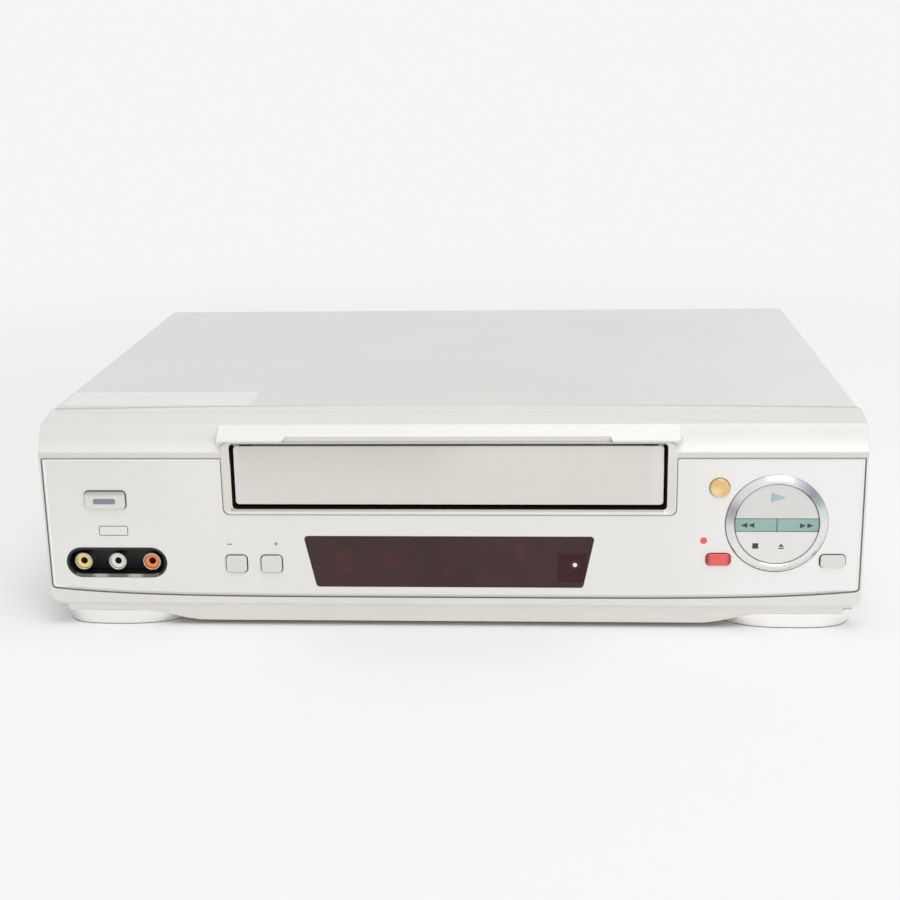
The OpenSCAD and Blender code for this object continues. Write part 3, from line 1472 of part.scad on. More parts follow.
module cam_gear() color("white") placed() translate([cam_pos[0], cam_pos[1], cam_z]) difference() {
  linear_extrude(cam_t) gear_shape(cam_r, cam_teeth);
  // cam track that the lever pins follow
  translate([0, 0, cam_t - 2]) linear_extrude(4) difference() {
    translate([2, 0]) circle(cam_r - 7);
    translate([2, 0]) circle(cam_r - 11);
  }
  axle_hole();
}

module tape_guide(side) {
  p = guide_at(side, guide_start);
  translate([p[0], p[1], 0]) {
    layer(deck_z + 0.2, deck_z + 0.2 + guide_block_h) round_rect(guide_block, guide_block, 1.5);
    translate([0, 0, deck_low_z - 1.5]) cylinder(deck_t + 2, guide_pin_r, guide_pin_r);
    translate([0, 0, deck_low_z - 3]) cylinder(2.8, guide_pin_r + 1.6, guide_pin_r + 1.6);
    translate([0, 0, deck_z + guide_block_h]) cylinder(guide_post_h, guide_post_r, guide_post_r);
    translate([0, 0, deck_z + guide_block_h + guide_post_h])
      cylinder(1.5, guide_post_r + 1.2, guide_post_r + 1.2);
  }
}

module supply_guide() color("gainsboro") placed() tape_guide(-1);
module take_up_guide() color("gainsboro") placed() tape_guide(1);

// The erase head, and the audio and control head, each on its post
module fixed_heads() color("lightgray") placed()
  for (p = [erase_head_off, audio_head_off])
    translate([p[0], drum_y + p[1], deck_z]) rotate(p[2]) {
      block([-head_size[0] / 2 - 1, -head_size[1] / 2 - 1, 0],
        [head_size[0] / 2 + 1, head_size[1] / 2 + 1, 2]);
      translate([0, 0, 1]) cylinder(12, 2.5, 2.5);
      translate([-head_size[0] / 2, -head_size[1] / 2, 10]) cube(head_size);
    }

module frame_window(y0, y1, z0, z1) {
  translate([(y0 + y1) / 2, (z0 + z1) / 2]) round_rect(y1 - y0, z1 - z0, 3);
}

module carriage_frame() color("silver") placed() {
  frame_end_y = holder_back_y + carriage_in + 6;
  pin_y0 = holder_pin_pos[0];
  pin_y1 = holder_pin_pos[0] + holder_pin_pitch + carriage_in;
  both_sides() {
    rib(frame_x, frame_out_x) difference() {
      translate([frame_y, deck_z]) square([frame_end_y - frame_y, frame_top_z - deck_z]);
      slot_shape([pin_y0, slide_pin_z], [pin_y1, slide_pin_z], pin_slot_r);
      for (y = frame_window_ys)
        frame_window(frame_y + y, frame_y + y + frame_window_l, deck_z + 8, slide_pin_z - 12);
    }
    for (y = [frame_y + 16, frame_end_y - 30])
      block([frame_out_x - bite, y, deck_z], [frame_out_x + 6, y + 18, deck_z + holder_t]);
  }
  // bridge between the two sides
  block([-frame_out_x, frame_end_y - 14, frame_top_z - holder_t], [frame_out_x, frame_end_y, frame_top_z]);
}

module lift_slides() color("lightgray") placed() {
  y0 = holder_pin_pos[0] - 8;
  y1 = holder_pin_pos[0] + holder_pin_pitch + 8;
  both_sides() {
    rib(slide_x, slide_out_x) difference() {
      translate([y0, holder_pin_pos[1] - carriage_drop - 5])
        square([y1 - y0, slide_pin_z + 3 - (holder_pin_pos[1] - carriage_drop - 5)]);
      for (i = [0, 1]) let (y = holder_pin_pos[0] + i * holder_pin_pitch)
        slot_shape([y, holder_pin_pos[1] - carriage_drop], [y, holder_pin_pos[1]], pin_slot_r);
    }
    for (i = [0, 1])
      translate([slide_out_x - bite, holder_pin_pos[0] + i * holder_pin_pitch, slide_pin_z])
        rotate([0, 90, 0]) cylinder(slide_gap + holder_t + bite, slide_pin_r, slide_pin_r);
  }
  block([-slide_out_x, y0 + 16, slide_pin_z + 3 - holder_t], [slide_out_x, y0 + 28, slide_pin_z + 3]);
}

module cassette_holder() color("gainsboro") placed() {
  both_sides() {
    rib(holder_in_x, holder_x)
      translate([holder_y, holder_low_z]) square([holder_d, holder_top_z + holder_t - holder_low_z]);
    block([holder_x - ledge_w, holder_y, holder_low_z], [holder_x, holder_back_y, holder_low_z + holder_t]);
    // stop that the cassette meets
    block([holder_x - 10, holder_back_y - holder_t, holder_low_z],
      [holder_x, holder_back_y, holder_low_z + 14]);
    for (i = [0, 1])
      translate([holder_x - bite, holder_pin_pos[0] + i * holder_pin_pitch, holder_pin_pos[1]])
        rotate([0, 90, 0]) cylinder(slide_gap + holder_t, slide_pin_r, slide_pin_r);
  }
  block([-holder_x, holder_y, holder_top_z], [holder_x, holder_back_y, holder_top_z + holder_t]);
}

top_cover();
base_pan();
rear_panel();
front_bezel();
front_fascia();
cassette_door();
door_spring();
display_window();
dial_ring();
play_button();
rewind_button();
fast_forward_button();
stop_eject_button();
power_button();
power_lamp_lens();
channel_down_button();
channel_up_button();
quick_play_button();
record_button();
pause_button();
front_jack_housing();
jack_shells();
video_jack_insert();
audio_left_jack_insert();
audio_right_jack_insert();
front_feet();
rear_feet();
screws();
front_board();
key_switches();
display_tube();
main_board();
board_components();
power_board();
power_transformer();
tuner_can();
rear_jack_block();
mains_gland();
deck_chassis();
lower_drum();
upper_drum();
capstan_motor();
capstan_flywheel();
pinch_arm();
pinch_roller();
supply_reel();
take_up_reel();
idler_arm();
idler_gear();
clutch_pulley();
drive_belt();
loading_motor();
worm_gear();
cam_gear();
supply_guide();
take_up_guide();
fixed_heads();
carriage_frame();
lift_slides();
cassette_holder();
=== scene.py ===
import bpy, bmesh, math
from mathutils import Vector, Matrix


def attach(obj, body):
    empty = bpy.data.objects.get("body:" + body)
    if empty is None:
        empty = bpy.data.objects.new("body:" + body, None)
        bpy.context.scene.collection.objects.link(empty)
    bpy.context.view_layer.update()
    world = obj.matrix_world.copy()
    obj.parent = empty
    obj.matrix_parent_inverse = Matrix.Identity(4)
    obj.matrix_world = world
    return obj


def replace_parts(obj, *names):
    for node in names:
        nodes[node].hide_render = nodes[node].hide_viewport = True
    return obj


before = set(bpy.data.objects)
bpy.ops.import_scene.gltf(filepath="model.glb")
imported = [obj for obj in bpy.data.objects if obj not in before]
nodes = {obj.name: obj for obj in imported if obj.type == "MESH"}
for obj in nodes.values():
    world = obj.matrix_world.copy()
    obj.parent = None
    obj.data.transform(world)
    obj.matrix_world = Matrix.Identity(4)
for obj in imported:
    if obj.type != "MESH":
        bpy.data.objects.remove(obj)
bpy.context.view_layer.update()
print("frame loaded,", len(nodes), "CAD nodes")

mm = 0.001
depthShift = 137.45  # depth is counted from the front face, as in the part's source


def at(x, y, z):  # millimetres right, behind the front face, above the table
    return Vector((x * mm, (y - depthShift) * mm, z * mm))


# The camera stands where the photographer's did. Place in millimetres, angles in degrees.
camera = {
    "place": (46.26, -814.35, 278.44),
    "yaw": -3.7774, "pitch": 15.7662, "roll": -1.0663,
    "lens": 61.84, "filmWidth": 36.0,
    "nearest": 0.02, "farthest": 30,
}


def makeCamera(values):
    data = bpy.data.cameras.new("photoCamera")
    data.lens, data.sensor_width, data.sensor_fit = values["lens"], values["filmWidth"], "HORIZONTAL"
    data.clip_start, data.clip_end = values["nearest"], values["farthest"]
    obj = bpy.data.objects.new("photoCamera", data)
    bpy.context.scene.collection.objects.link(obj)
    yaw, pitch, roll = (math.radians(values[k]) for k in ("yaw", "pitch", "roll"))
    ahead = Vector((math.sin(yaw) * math.cos(pitch), math.cos(yaw) * math.cos(pitch), -math.sin(pitch)))
    right = Vector((math.cos(yaw), -math.sin(yaw), 0))
    up = right.cross(ahead)
    rolledRight = right * math.cos(roll) + up * math.sin(roll)
    rolledUp = up * math.cos(roll) - right * math.sin(roll)
    turn = Matrix((rolledRight, rolledUp, -ahead)).transposed()
    obj.matrix_world = Matrix.Translation(Vector(values["place"]) * mm) @ turn.to_4x4()
    bpy.context.scene.camera = obj


makeCamera(camera)
bpy.context.scene.view_settings.view_transform = "Standard"
print("camera set")

# Each finish: colour, roughness and metal, then how it varies. Scales are in features per metre.
# A patch is a box on the front (left, right, low, high in mm), its colour and, if its own, its softness.
finishes = {
    # the casing
    "cover_paint": dict(
        colour=(0.69, 0.688, 0.672), rough=0.42, metal=0.25, cloud=0.025, cloudScale=9,
        speckle=0.05, speckleScale=2600, bump=0.05, bumpScale=1900, smudge=0.07, wear=0.10,
        # painted light: the cover is painted lighter towards its right
        patchSoft=60, patches=[((120, 400, -100, 300), (0.74, 0.738, 0.722))]),
    "bezel_plastic": dict(
        colour=(0.735, 0.722, 0.692), rough=0.38, metal=0.25, cloud=0.02, cloudScale=12,
        speckle=0.045, speckleScale=3200, bump=0.035, bumpScale=2400, smudge=0.06, wear=0.12,
        # painted light and shade: the band is painted lighter on its right and a little on its left, the ledge
        # under the band and the skirt under the lip darker as painted shade, the band's upper parts greyer as
        # painted shade, and the hood and the notch face under it lighter as painted light
        patches=[((104, 230, 70, 89.5), (0.80, 0.798, 0.79), 3.5),
                 ((-230, -104, 70, 88), (0.745, 0.735, 0.71), 3.5),
                 ((-191, 191, 82.3, 85.6), (0.665, 0.652, 0.62)),
                 ((-150, 150, 1, 11.4), (0.735, 0.712, 0.67)),
                 ((-191, -107, 90, 97.1), (0.69, 0.678, 0.65), 3),
                 ((-106, 106, 86.4, 97), (0.76, 0.758, 0.752)),
                 ((107, 191, 91, 97.1), (0.69, 0.683, 0.665), 3),
                 ((-74, 75.4, 89.8, 92.7), (0.79, 0.775, 0.73))]),
    "frame_paint": dict(
        colour=(0.70, 0.672, 0.625), rough=0.34, metal=0.35, cloud=0.015, cloudScale=14,
        speckle=0.04, speckleScale=3200, bump=0.03, bumpScale=2600, smudge=0.06, wear=0.12, edge=0.25,
        # painted shade: a darker strip along the slot's lower edge and a greyer strip under the hood; painted
        # light: the frame's right side lighter
        patches=[((-101.2, 101.2, 57.2, 58.75), (0.42, 0.40, 0.365)),
                 ((99, 107, 55, 89.5), (0.775, 0.75, 0.705)),
                 ((-100, 100, 89.7, 93), (0.58, 0.56, 0.51))]),
    "fascia_paint": dict(
        colour=(0.765, 0.76, 0.735), rough=0.34, metal=0.2, cloud=0.012, cloudScale=14,
        speckle=0.03, speckleScale=3600, bump=0.02, bumpScale=2800, smudge=0.05, wear=0.05,
        # painted light and shade: the fascia is painted lighter towards the right and darker at its upper left
        patchSoft=25, patches=[((118, 400, -100, 200), (0.825, 0.822, 0.81)),
                               ((-400, -135, 66, 200), (0.735, 0.728, 0.70))]),
    "fascia_edge": dict(
        colour=(0.83, 0.815, 0.80), rough=0.2, metal=0.1, cloud=0.02, cloudScale=30,
        speckle=0.02, speckleScale=3000, bump=0.01, bumpScale=2500, smudge=0.05,
        # painted shade: the bead is painted greyer along the bottom
        patches=[((-187.5, 187.5, 13, 19.6), (0.57, 0.56, 0.57))]),
    "gap_shade": dict(
        colour=(0.12, 0.115, 0.11), rough=0.6, metal=0.0, cloud=0.15, cloudScale=200,
        bump=0.03, bumpScale=3000, smudge=0.05,
        patches=[((-191, 191, 82, 84.5), (0.26, 0.24, 0.21))]),
    "foot_gloss": dict(
        colour=(0.90, 0.895, 0.88), rough=0.2, metal=0.75, cloud=0.02, cloudScale=20,
        speckle=0.03, speckleScale=3000, bump=0.015, bumpScale=1800, smudge=0.08, wear=0.12,
        # painted light: the right foot is painted lighter
        patches=[((110, 200, -2, 12), (0.96, 0.955, 0.945))]),
    "foot_rubber": dict(
        colour=(0.025, 0.025, 0.026), rough=0.75, metal=0.0, cloud=0.2, cloudScale=80,
        bump=0.25, bumpScale=1400, smudge=0.08, wear=0.2),
    "film": dict(
        colour=(0.74, 0.742, 0.735), rough=0.16, metal=0.1, cloud=0.03, cloudScale=120,
        speckle=0.03, speckleScale=500, bump=0.04, bumpScale=220, smudge=0.10),
    # the door, the slot and the window
    "door_paint": dict(
        colour=(0.695, 0.67, 0.628), rough=0.36, metal=0.35, cloud=0.02, cloudScale=11,
        speckle=0.04, speckleScale=3000, brushed=(500, 60, 60), brushDepth=0.3,
        bump=0.03, bumpScale=2400, smudge=0.06, wear=0.12,
        # painted shade on the door's upper left, a painted highlight on its rolled right end and a painted lavender
        # reflection on its rolled left end
        patchSoft=1.3, patches=[((-140, 0, 76, 120), (0.63, 0.605, 0.565), 13),
                                ((93.5, 97.5, 56, 92), (0.725, 0.705, 0.675)),
                                ((-99.5, -96.5, 56, 92), (0.69, 0.66, 0.665))]),
    # the slot lining is near-black plastic, made deep black and wide as painted shade for the shadow gap round the
    # door
    "slot_black": dict(
        colour=(0.010, 0.008, 0.006), rough=0.7, metal=0.0, cloud=0.2, cloudScale=90, gloss=0.0,
        bump=0.04, bumpScale=1700, smudge=0.08),
    "window_dark": dict(
        colour=(0.048, 0.025, 0.024), rough=0.2, metal=0.0, cloud=0.10, cloudScale=40, gloss=0.25,
        speckle=0.12, speckleScale=900, bump=0.004, bumpScale=900, smudge=0.05,
        patches=[((-52.6, -45.2, 26.6, 37.9), (0.066, 0.024, 0.025)),
                 ((-29.8, -23.3, 30.2, 36.5), (0.062, 0.023, 0.024)),
                 ((-1.8, 1.5, 23.6, 38.5), (0.060, 0.023, 0.024)),
                 ((31.5, 35.7, 33.4, 41.1), (0.066, 0.024, 0.025)),
                 ((50.5, 64.0, 22.7, 36.9), (0.042, 0.009, 0.014))]),
    "lamp_surround": dict(
        colour=(0.02, 0.012, 0.014), rough=0.3, metal=0.0, cloud=0.1, cloudScale=200,
        bump=0.02, bumpScale=2000, smudge=0.05),
    "lamp_white": dict(
        colour=(0.86, 0.55, 0.62), rough=0.2, metal=0.0, cloud=0.05, cloudScale=400,
        bump=0.02, bumpScale=2000, smudge=0.05, glow=0.3),
    # the dial and the keys
    "ring_chrome": dict(
        colour=(0.80, 0.81, 0.82), rough=0.2, metal=0.9, cloud=0.015, cloudScale=60,
        bump=0.012, bumpScale=1800, smudge=0.08, wear=0.05),
    # painted reflection: the ring's colour is shaded by angle round the dial, from the dial's room ramp
    "ring_mirror": dict(
        colour=(0.90, 0.905, 0.91), rough=0.16, metal=1.0, cloud=0.01, cloudScale=60,
        bump=0.008, bumpScale=1800, smudge=0.06, turned=True),
    "dial_silver": dict(
        colour=(0.755, 0.747, 0.73), rough=0.36, metal=0.25, cloud=0.02, cloudScale=40,
        speckle=0.04, speckleScale=3400, bump=0.03, bumpScale=2600, smudge=0.08, wear=0.12,
        patches=[((130, 171, 54.7, 73), (0.69, 0.678, 0.66))]),
    "key_silver": dict(
        colour=(0.71, 0.695, 0.67), rough=0.38, metal=0.25, cloud=0.02, cloudScale=50,
        speckle=0.04, speckleScale=3400, bump=0.03, bumpScale=2600, smudge=0.09, wear=0.15,
        # painted shade: a darker band along the top of the power key
        patchSoft=1.3, patches=[((-170, -150.5, 65.3, 68), (0.47, 0.46, 0.45))]),
    "key_teal": dict(
        colour=(0.29, 0.435, 0.40), rough=0.26, metal=0.15, cloud=0.05, cloudScale=60,
        speckle=0.03, speckleScale=3000, bump=0.02, bumpScale=2400, smudge=0.08, wear=0.15),
    "key_gold": dict(
        colour=(0.80, 0.52, 0.21), rough=0.2, metal=0.55, cloud=0.05, cloudScale=90,
        speckle=0.05, speckleScale=3200, bump=0.02, bumpScale=2400, smudge=0.08, wear=0.12,
        # painted highlight on the lower left of the round key
        patchSoft=1.4, patches=[((119.5, 124.6, 64, 69.6), (0.92, 0.68, 0.36))]),
    "key_red": dict(
        colour=(0.78, 0.125, 0.12), rough=0.28, metal=0.15, cloud=0.06, cloudScale=90,
        speckle=0.04, speckleScale=3200, bump=0.02, bumpScale=2400, smudge=0.08, wear=0.12,
        # painted shade: the record key's ends are painted darker
        patchSoft=0.8, patches=[((118, 120.1, 31, 38), (0.46, 0.05, 0.05)),
                                ((128.5, 130.5, 31, 38), (0.46, 0.05, 0.05))]),
    "lens_blue": dict(
        colour=(0.235, 0.235, 0.30), rough=0.15, metal=0.1, cloud=0.10, cloudScale=300,
        bump=0.01, bumpScale=2000, smudge=0.05, wear=0.05),
    "well_shade": dict(
        colour=(0.055, 0.05, 0.045), rough=0.6, metal=0.0, cloud=0.15, cloudScale=200,
        bump=0.03, bumpScale=3000, smudge=0.05),
    "ink_dark": dict(
        colour=(0.045, 0.05, 0.05), rough=0.5, metal=0.0, cloud=0.08, cloudScale=200,
        bump=0.03, bumpScale=3000, smudge=0.05),
    "ink_teal": dict(
        colour=(0.36, 0.50, 0.53), rough=0.45, metal=0.1, cloud=0.06, cloudScale=200,
        bump=0.03, bumpScale=3000, smudge=0.05),
    "ink_red": dict(
        colour=(0.86, 0.09, 0.10), rough=0.45, metal=0.0, cloud=0.06, cloudScale=200,
        bump=0.03, bumpScale=3000, smudge=0.05),
    # the jacks and their recess
    "black_plastic": dict(
        colour=(0.012, 0.014, 0.014), rough=0.42, metal=0.0, cloud=0.15, cloudScale=60,
        bump=0.08, bumpScale=1700, smudge=0.10, wear=0.10),
    # painted light: the jack recess's black plastic painted lighter on its lower wall, with painted highlights
    # between the jacks
    "sill": dict(
        colour=(0.13, 0.118, 0.10), rough=0.3, metal=0.2, cloud=0.06, cloudScale=120,
        bump=0.02, bumpScale=2000, smudge=0.05,
        patchSoft=1.6, patches=[((-168.5, -162, 20, 28), (0.42, 0.38, 0.32)),
                                ((-152, -145.5, 20, 28), (0.42, 0.38, 0.32))]),
    # painted shade: dark caps deep in the jacks' pin bores
    "bore_dark": dict(
        colour=(0.016, 0.010, 0.006), rough=0.6, metal=0.0, cloud=0.2, cloudScale=300, gloss=0.0,
        bump=0.03, bumpScale=3000, smudge=0.05),
    "jack_metal": dict(
        colour=(0.74, 0.72, 0.68), rough=0.22, metal=1.0, cloud=0.03, cloudScale=120,
        bump=0.02, bumpScale=1500, smudge=0.12, wear=0.08),
    "insert_yellow": dict(
        colour=(0.88, 0.70, 0.22), rough=0.24, metal=0.0, cloud=0.04, cloudScale=200,
        bump=0.015, bumpScale=2000, smudge=0.05, wear=0.05),
    "insert_white": dict(
        colour=(0.82, 0.80, 0.76), rough=0.24, metal=0.0, cloud=0.04, cloudScale=200,
        bump=0.015, bumpScale=2000, smudge=0.05, wear=0.05),
    "insert_red": dict(
        colour=(0.88, 0.25, 0.045), rough=0.24, metal=0.0, cloud=0.05, cloudScale=200,
        bump=0.015, bumpScale=2000, smudge=0.05, wear=0.05),
    # the boards, the pan and the small steel
    "screw_steel": dict(
        colour=(0.58, 0.58, 0.56), rough=0.3, metal=1.0, cloud=0.05, cloudScale=300,
        bump=0.04, bumpScale=1500, smudge=0.12, wear=0.1),
    "spring_steel": dict(
        colour=(0.45, 0.45, 0.44), rough=0.3, metal=1.0, cloud=0.05, cloudScale=300,
        bump=0.03, bumpScale=3000, smudge=0.1, wear=0.05),
    "board_green": dict(
        colour=(0.03, 0.13, 0.055), rough=0.3, metal=0.0, cloud=0.25, cloudScale=110,
        weave=(420, 0.12), bump=0.06, bumpScale=600, smudge=0.1, wear=0.1),
    "component_black": dict(
        colour=(0.018, 0.018, 0.02), rough=0.5, metal=0.0, cloud=0.2, cloudScale=150,
        bump=0.1, bumpScale=1800, smudge=0.1, wear=0.2),
    "tube_glass": dict(
        colour=(0.09, 0.13, 0.125), rough=0.08, metal=0.0, cloud=0.1, cloudScale=60,
        bump=0.004, bumpScale=300, smudge=0.04),
    "pan_steel": dict(
        colour=(0.60, 0.60, 0.57), rough=0.36, metal=0.9, cloud=0.10, cloudScale=55,
        spangle=(150, 0.045), bump=0.03, bumpScale=900, smudge=0.14, wear=0.1),
    "coil_tape": dict(
        colour=(0.72, 0.52, 0.10), rough=0.35, metal=0.0, cloud=0.06, cloudScale=70,
        bump=0.06, bumpScale=500, smudge=0.1, wear=0.1),
    "can_tin": dict(
        colour=(0.66, 0.66, 0.63), rough=0.3, metal=1.0, cloud=0.07, cloudScale=70,
        spangle=(180, 0.035), bump=0.02, bumpScale=900, smudge=0.14, wear=0.1),
    # the deck
    "drum_alloy": dict(
        colour=(0.78, 0.78, 0.77), rough=0.16, metal=1.0, cloud=0.02, cloudScale=60,
        brushed=(60, 60, 5200), bump=0.02, bumpScale=1500, smudge=0.06, wear=0.05),
    "motor_steel": dict(
        colour=(0.52, 0.52, 0.51), rough=0.3, metal=1.0, cloud=0.05, cloudScale=70,
        bump=0.02, bumpScale=1200, smudge=0.12, wear=0.1),
    "roller_rubber": dict(
        colour=(0.02, 0.02, 0.021), rough=0.6, metal=0.0, cloud=0.2, cloudScale=120,
        bump=0.12, bumpScale=2200, smudge=0.1, wear=0.1),
    "reel_white": dict(
        colour=(0.74, 0.74, 0.70), rough=0.42, metal=0.0, cloud=0.03, cloudScale=60,
        bump=0.03, bumpScale=1500, smudge=0.08, wear=0.1),
    "gear_ivory": dict(
        colour=(0.70, 0.655, 0.52), rough=0.42, metal=0.0, cloud=0.04, cloudScale=60,
        bump=0.03, bumpScale=1500, smudge=0.08, wear=0.1),
    "head_metal": dict(
        colour=(0.62, 0.62, 0.61), rough=0.24, metal=1.0, cloud=0.04, cloudScale=120,
        bump=0.02, bumpScale=1600, smudge=0.08, wear=0.05),
    "carriage_steel": dict(
        colour=(0.62, 0.62, 0.59), rough=0.34, metal=0.9, cloud=0.08, cloudScale=60,
        spangle=(170, 0.04), bump=0.02, bumpScale=900, smudge=0.14, wear=0.1),
}
# What every finish shares. The bump's distance is in metres, the rest as above.
shared = {
    "ior": 1.47, "gloss": 0.5, "edge": 0.4, "patchSoft": 0.4,
    "brushDark": 0.035, "brushLight": 0.03, "weaveBend": 1.5,
    "wearScale": 160, "wearRange": (0.3, 1.0), "wearTurn": (0.995, 0.85),
    "wornLighter": 1.25, "wornLift": 0.08, "wornMost": 0.9,
    "smudgeScale": 38, "bumpDistance": 0.0002, "bumpGain": 3,
}
dial = {  # the ring is turned metal; its rows are radius and depth
    "centre": (150.3, 51.8), "steps": 160,
    "rows": [(23.1, 2.4), (23.1, 0.25), (23.0, 0.12), (22.8, -0.02), (21.0, -1.32), (20.75, -1.5),
             (20.5, -1.58), (20.2, -1.6), (19.95, -1.56), (19.75, -1.42), (19.4, -1.1), (19.25, -0.92),
             (19.2, -0.7), (19.2, 5.9), (21.5, 5.9), (21.6, 5.8), (21.6, 2.4)],
    # painted reflection: the colour given to the chrome for what it would mirror, by angle from its right side:
    # share of a turn, then colour
    "room": [(0.0, (0.90, 0.92, 0.91)), (0.05, (0.76, 0.86, 0.82)), (0.085, (0.46, 0.52, 0.50)),
             (0.12, (0.38, 0.38, 0.44)), (0.155, (0.58, 0.56, 0.64)), (0.20, (0.95, 0.95, 0.95)),
             (0.29, (0.95, 0.95, 0.95)), (0.34, (0.88, 0.88, 0.88)), (0.40, (0.80, 0.80, 0.80)),
             (0.445, (0.44, 0.44, 0.46)), (0.475, (0.52, 0.52, 0.53)), (0.51, (0.84, 0.85, 0.85)),
             (0.60, (0.93, 0.93, 0.91)), (0.72, (0.93, 0.92, 0.90)), (0.80, (0.92, 0.91, 0.89)),
             (0.88, (0.95, 0.95, 0.94)), (0.95, (0.92, 0.92, 0.91))],
    # the gap round the ring, a dark ring of painted shade: radius, shift of its centre, depth
    "gapSteps": 120, "gap": [(23.4, -0.12, 0.45), (23.35, -0.12, 0.37), (22.9, 0, 0.37)],
}


def addNode(tree, kind, place, **inputs):
    node = tree.nodes.new(kind)
    node.location = place
    for key, value in inputs.items():
        if hasattr(node, key):
            setattr(node, key, value)
        else:
            node.inputs[key.replace("_", " ")].default_value = value
    return node


def noiseOf(tree, coords, scale, place, detail=3.0, stretch=None):
    source = coords
    if stretch:
        mapping = addNode(tree, "ShaderNodeMapping", (place[0] - 180, place[1]))
        mapping.inputs["Scale"].default_value = stretch
        tree.links.new(coords, mapping.inputs["Vector"])
        source, scale = mapping.outputs["Vector"], 1.0
    noise = addNode(tree, "ShaderNodeTexNoise", place, Scale=scale, Detail=detail, Roughness=0.6)
    tree.links.new(source, noise.inputs["Vector"])
    return noise.outputs["Fac"]


def spread(tree, fac, low, high, place, span=(0.3, 0.7)):  # noise seldom leaves that span
    ramp = addNode(tree, "ShaderNodeMapRange", place)
    ramp.inputs["From Min"].default_value, ramp.inputs["From Max"].default_value = span
    ramp.inputs["To Min"].default_value, ramp.inputs["To Max"].default_value = low, high
    tree.links.new(fac, ramp.inputs["Value"])
    return ramp.outputs["Result"]


def product(tree, a, b, place):
    node = addNode(tree, "ShaderNodeMath", place, operation="MULTIPLY")
    tree.links.new(a, node.inputs[0])
    tree.links.new(b, node.inputs[1])
    return node.outputs[0]


def boxMask(tree, split, box, soft, place):
    total = None
    for axis, low, high in ((0, box[0], box[1]), (2, box[2], box[3])):
        away = addNode(tree, "ShaderNodeMath", place, operation="SUBTRACT")
        tree.links.new(split.outputs[axis], away.inputs[0])
        away.inputs[1].default_value = (low + high) / 2 * mm
        size = addNode(tree, "ShaderNodeMath", place, operation="ABSOLUTE")
        tree.links.new(away.outputs[0], size.inputs[0])
        fade = addNode(tree, "ShaderNodeMapRange", place, interpolation_type="SMOOTHSTEP")
        fade.inputs["From Min"].default_value = ((high - low) / 2 + soft) * mm
        fade.inputs["From Max"].default_value = ((high - low) / 2 - soft) * mm
        tree.links.new(size.outputs[0], fade.inputs["Value"])
        total = product(tree, total, fade.outputs["Result"], place) if total else fade.outputs["Result"]
    return total


def patched(tree, coords, base, patches, soft):
    split = addNode(tree, "ShaderNodeSeparateXYZ", (-900, 600))
    tree.links.new(coords, split.inputs[0])
    colour = None
    for box, target, *ownSoft in patches:
        mix = addNode(tree, "ShaderNodeMix", (-100, 500), data_type="RGBA")
        mask = boxMask(tree, split, box, ownSoft[0] if ownSoft else soft, (-600, 600))
        tree.links.new(mask, mix.inputs[0])
        mix.inputs[6].default_value, mix.inputs[7].default_value = (*base, 1), (*target, 1)
        if colour:
            tree.links.new(colour, mix.inputs[6])
        colour = mix.outputs[2]
    return colour


def paintedReflection(tree, coords, colour, centre, room, place):
    split = addNode(tree, "ShaderNodeSeparateXYZ", place)
    shift = addNode(tree, "ShaderNodeVectorMath", place, operation="SUBTRACT")
    shift.inputs[1].default_value = (centre[0] * mm, 0, centre[1] * mm)
    tree.links.new(coords, shift.inputs[0])
    tree.links.new(shift.outputs["Vector"], split.inputs[0])
    angle = addNode(tree, "ShaderNodeMath", place, operation="ARCTAN2")
    tree.links.new(split.outputs[2], angle.inputs[0])
    tree.links.new(split.outputs[0], angle.inputs[1])
    turn = addNode(tree, "ShaderNodeMath", place, operation="DIVIDE")
    turn.inputs[1].default_value = 2 * math.pi
    tree.links.new(angle.outputs[0], turn.inputs[0])
    wrap = addNode(tree, "ShaderNodeMath", place, operation="FRACT")
    tree.links.new(turn.outputs[0], wrap.inputs[0])
    ramp = addNode(tree, "ShaderNodeValToRGB", place)
    steps = ramp.color_ramp.elements
    for i, (where, tone) in enumerate(room):
        step = steps[i] if i < 2 else steps.new(where)  # a new ramp has two steps of its own
        step.position, step.color = where, (*tone, 1)
    tree.links.new(wrap.outputs[0], ramp.inputs[0])
    blend = addNode(tree, "ShaderNodeMix", place, data_type="RGBA", blend_type="MULTIPLY")
    blend.inputs[0].default_value = 1.0
    tree.links.new(colour, blend.inputs[6])
    tree.links.new(ramp.outputs[0], blend.inputs[7])
    return blend.outputs[2]


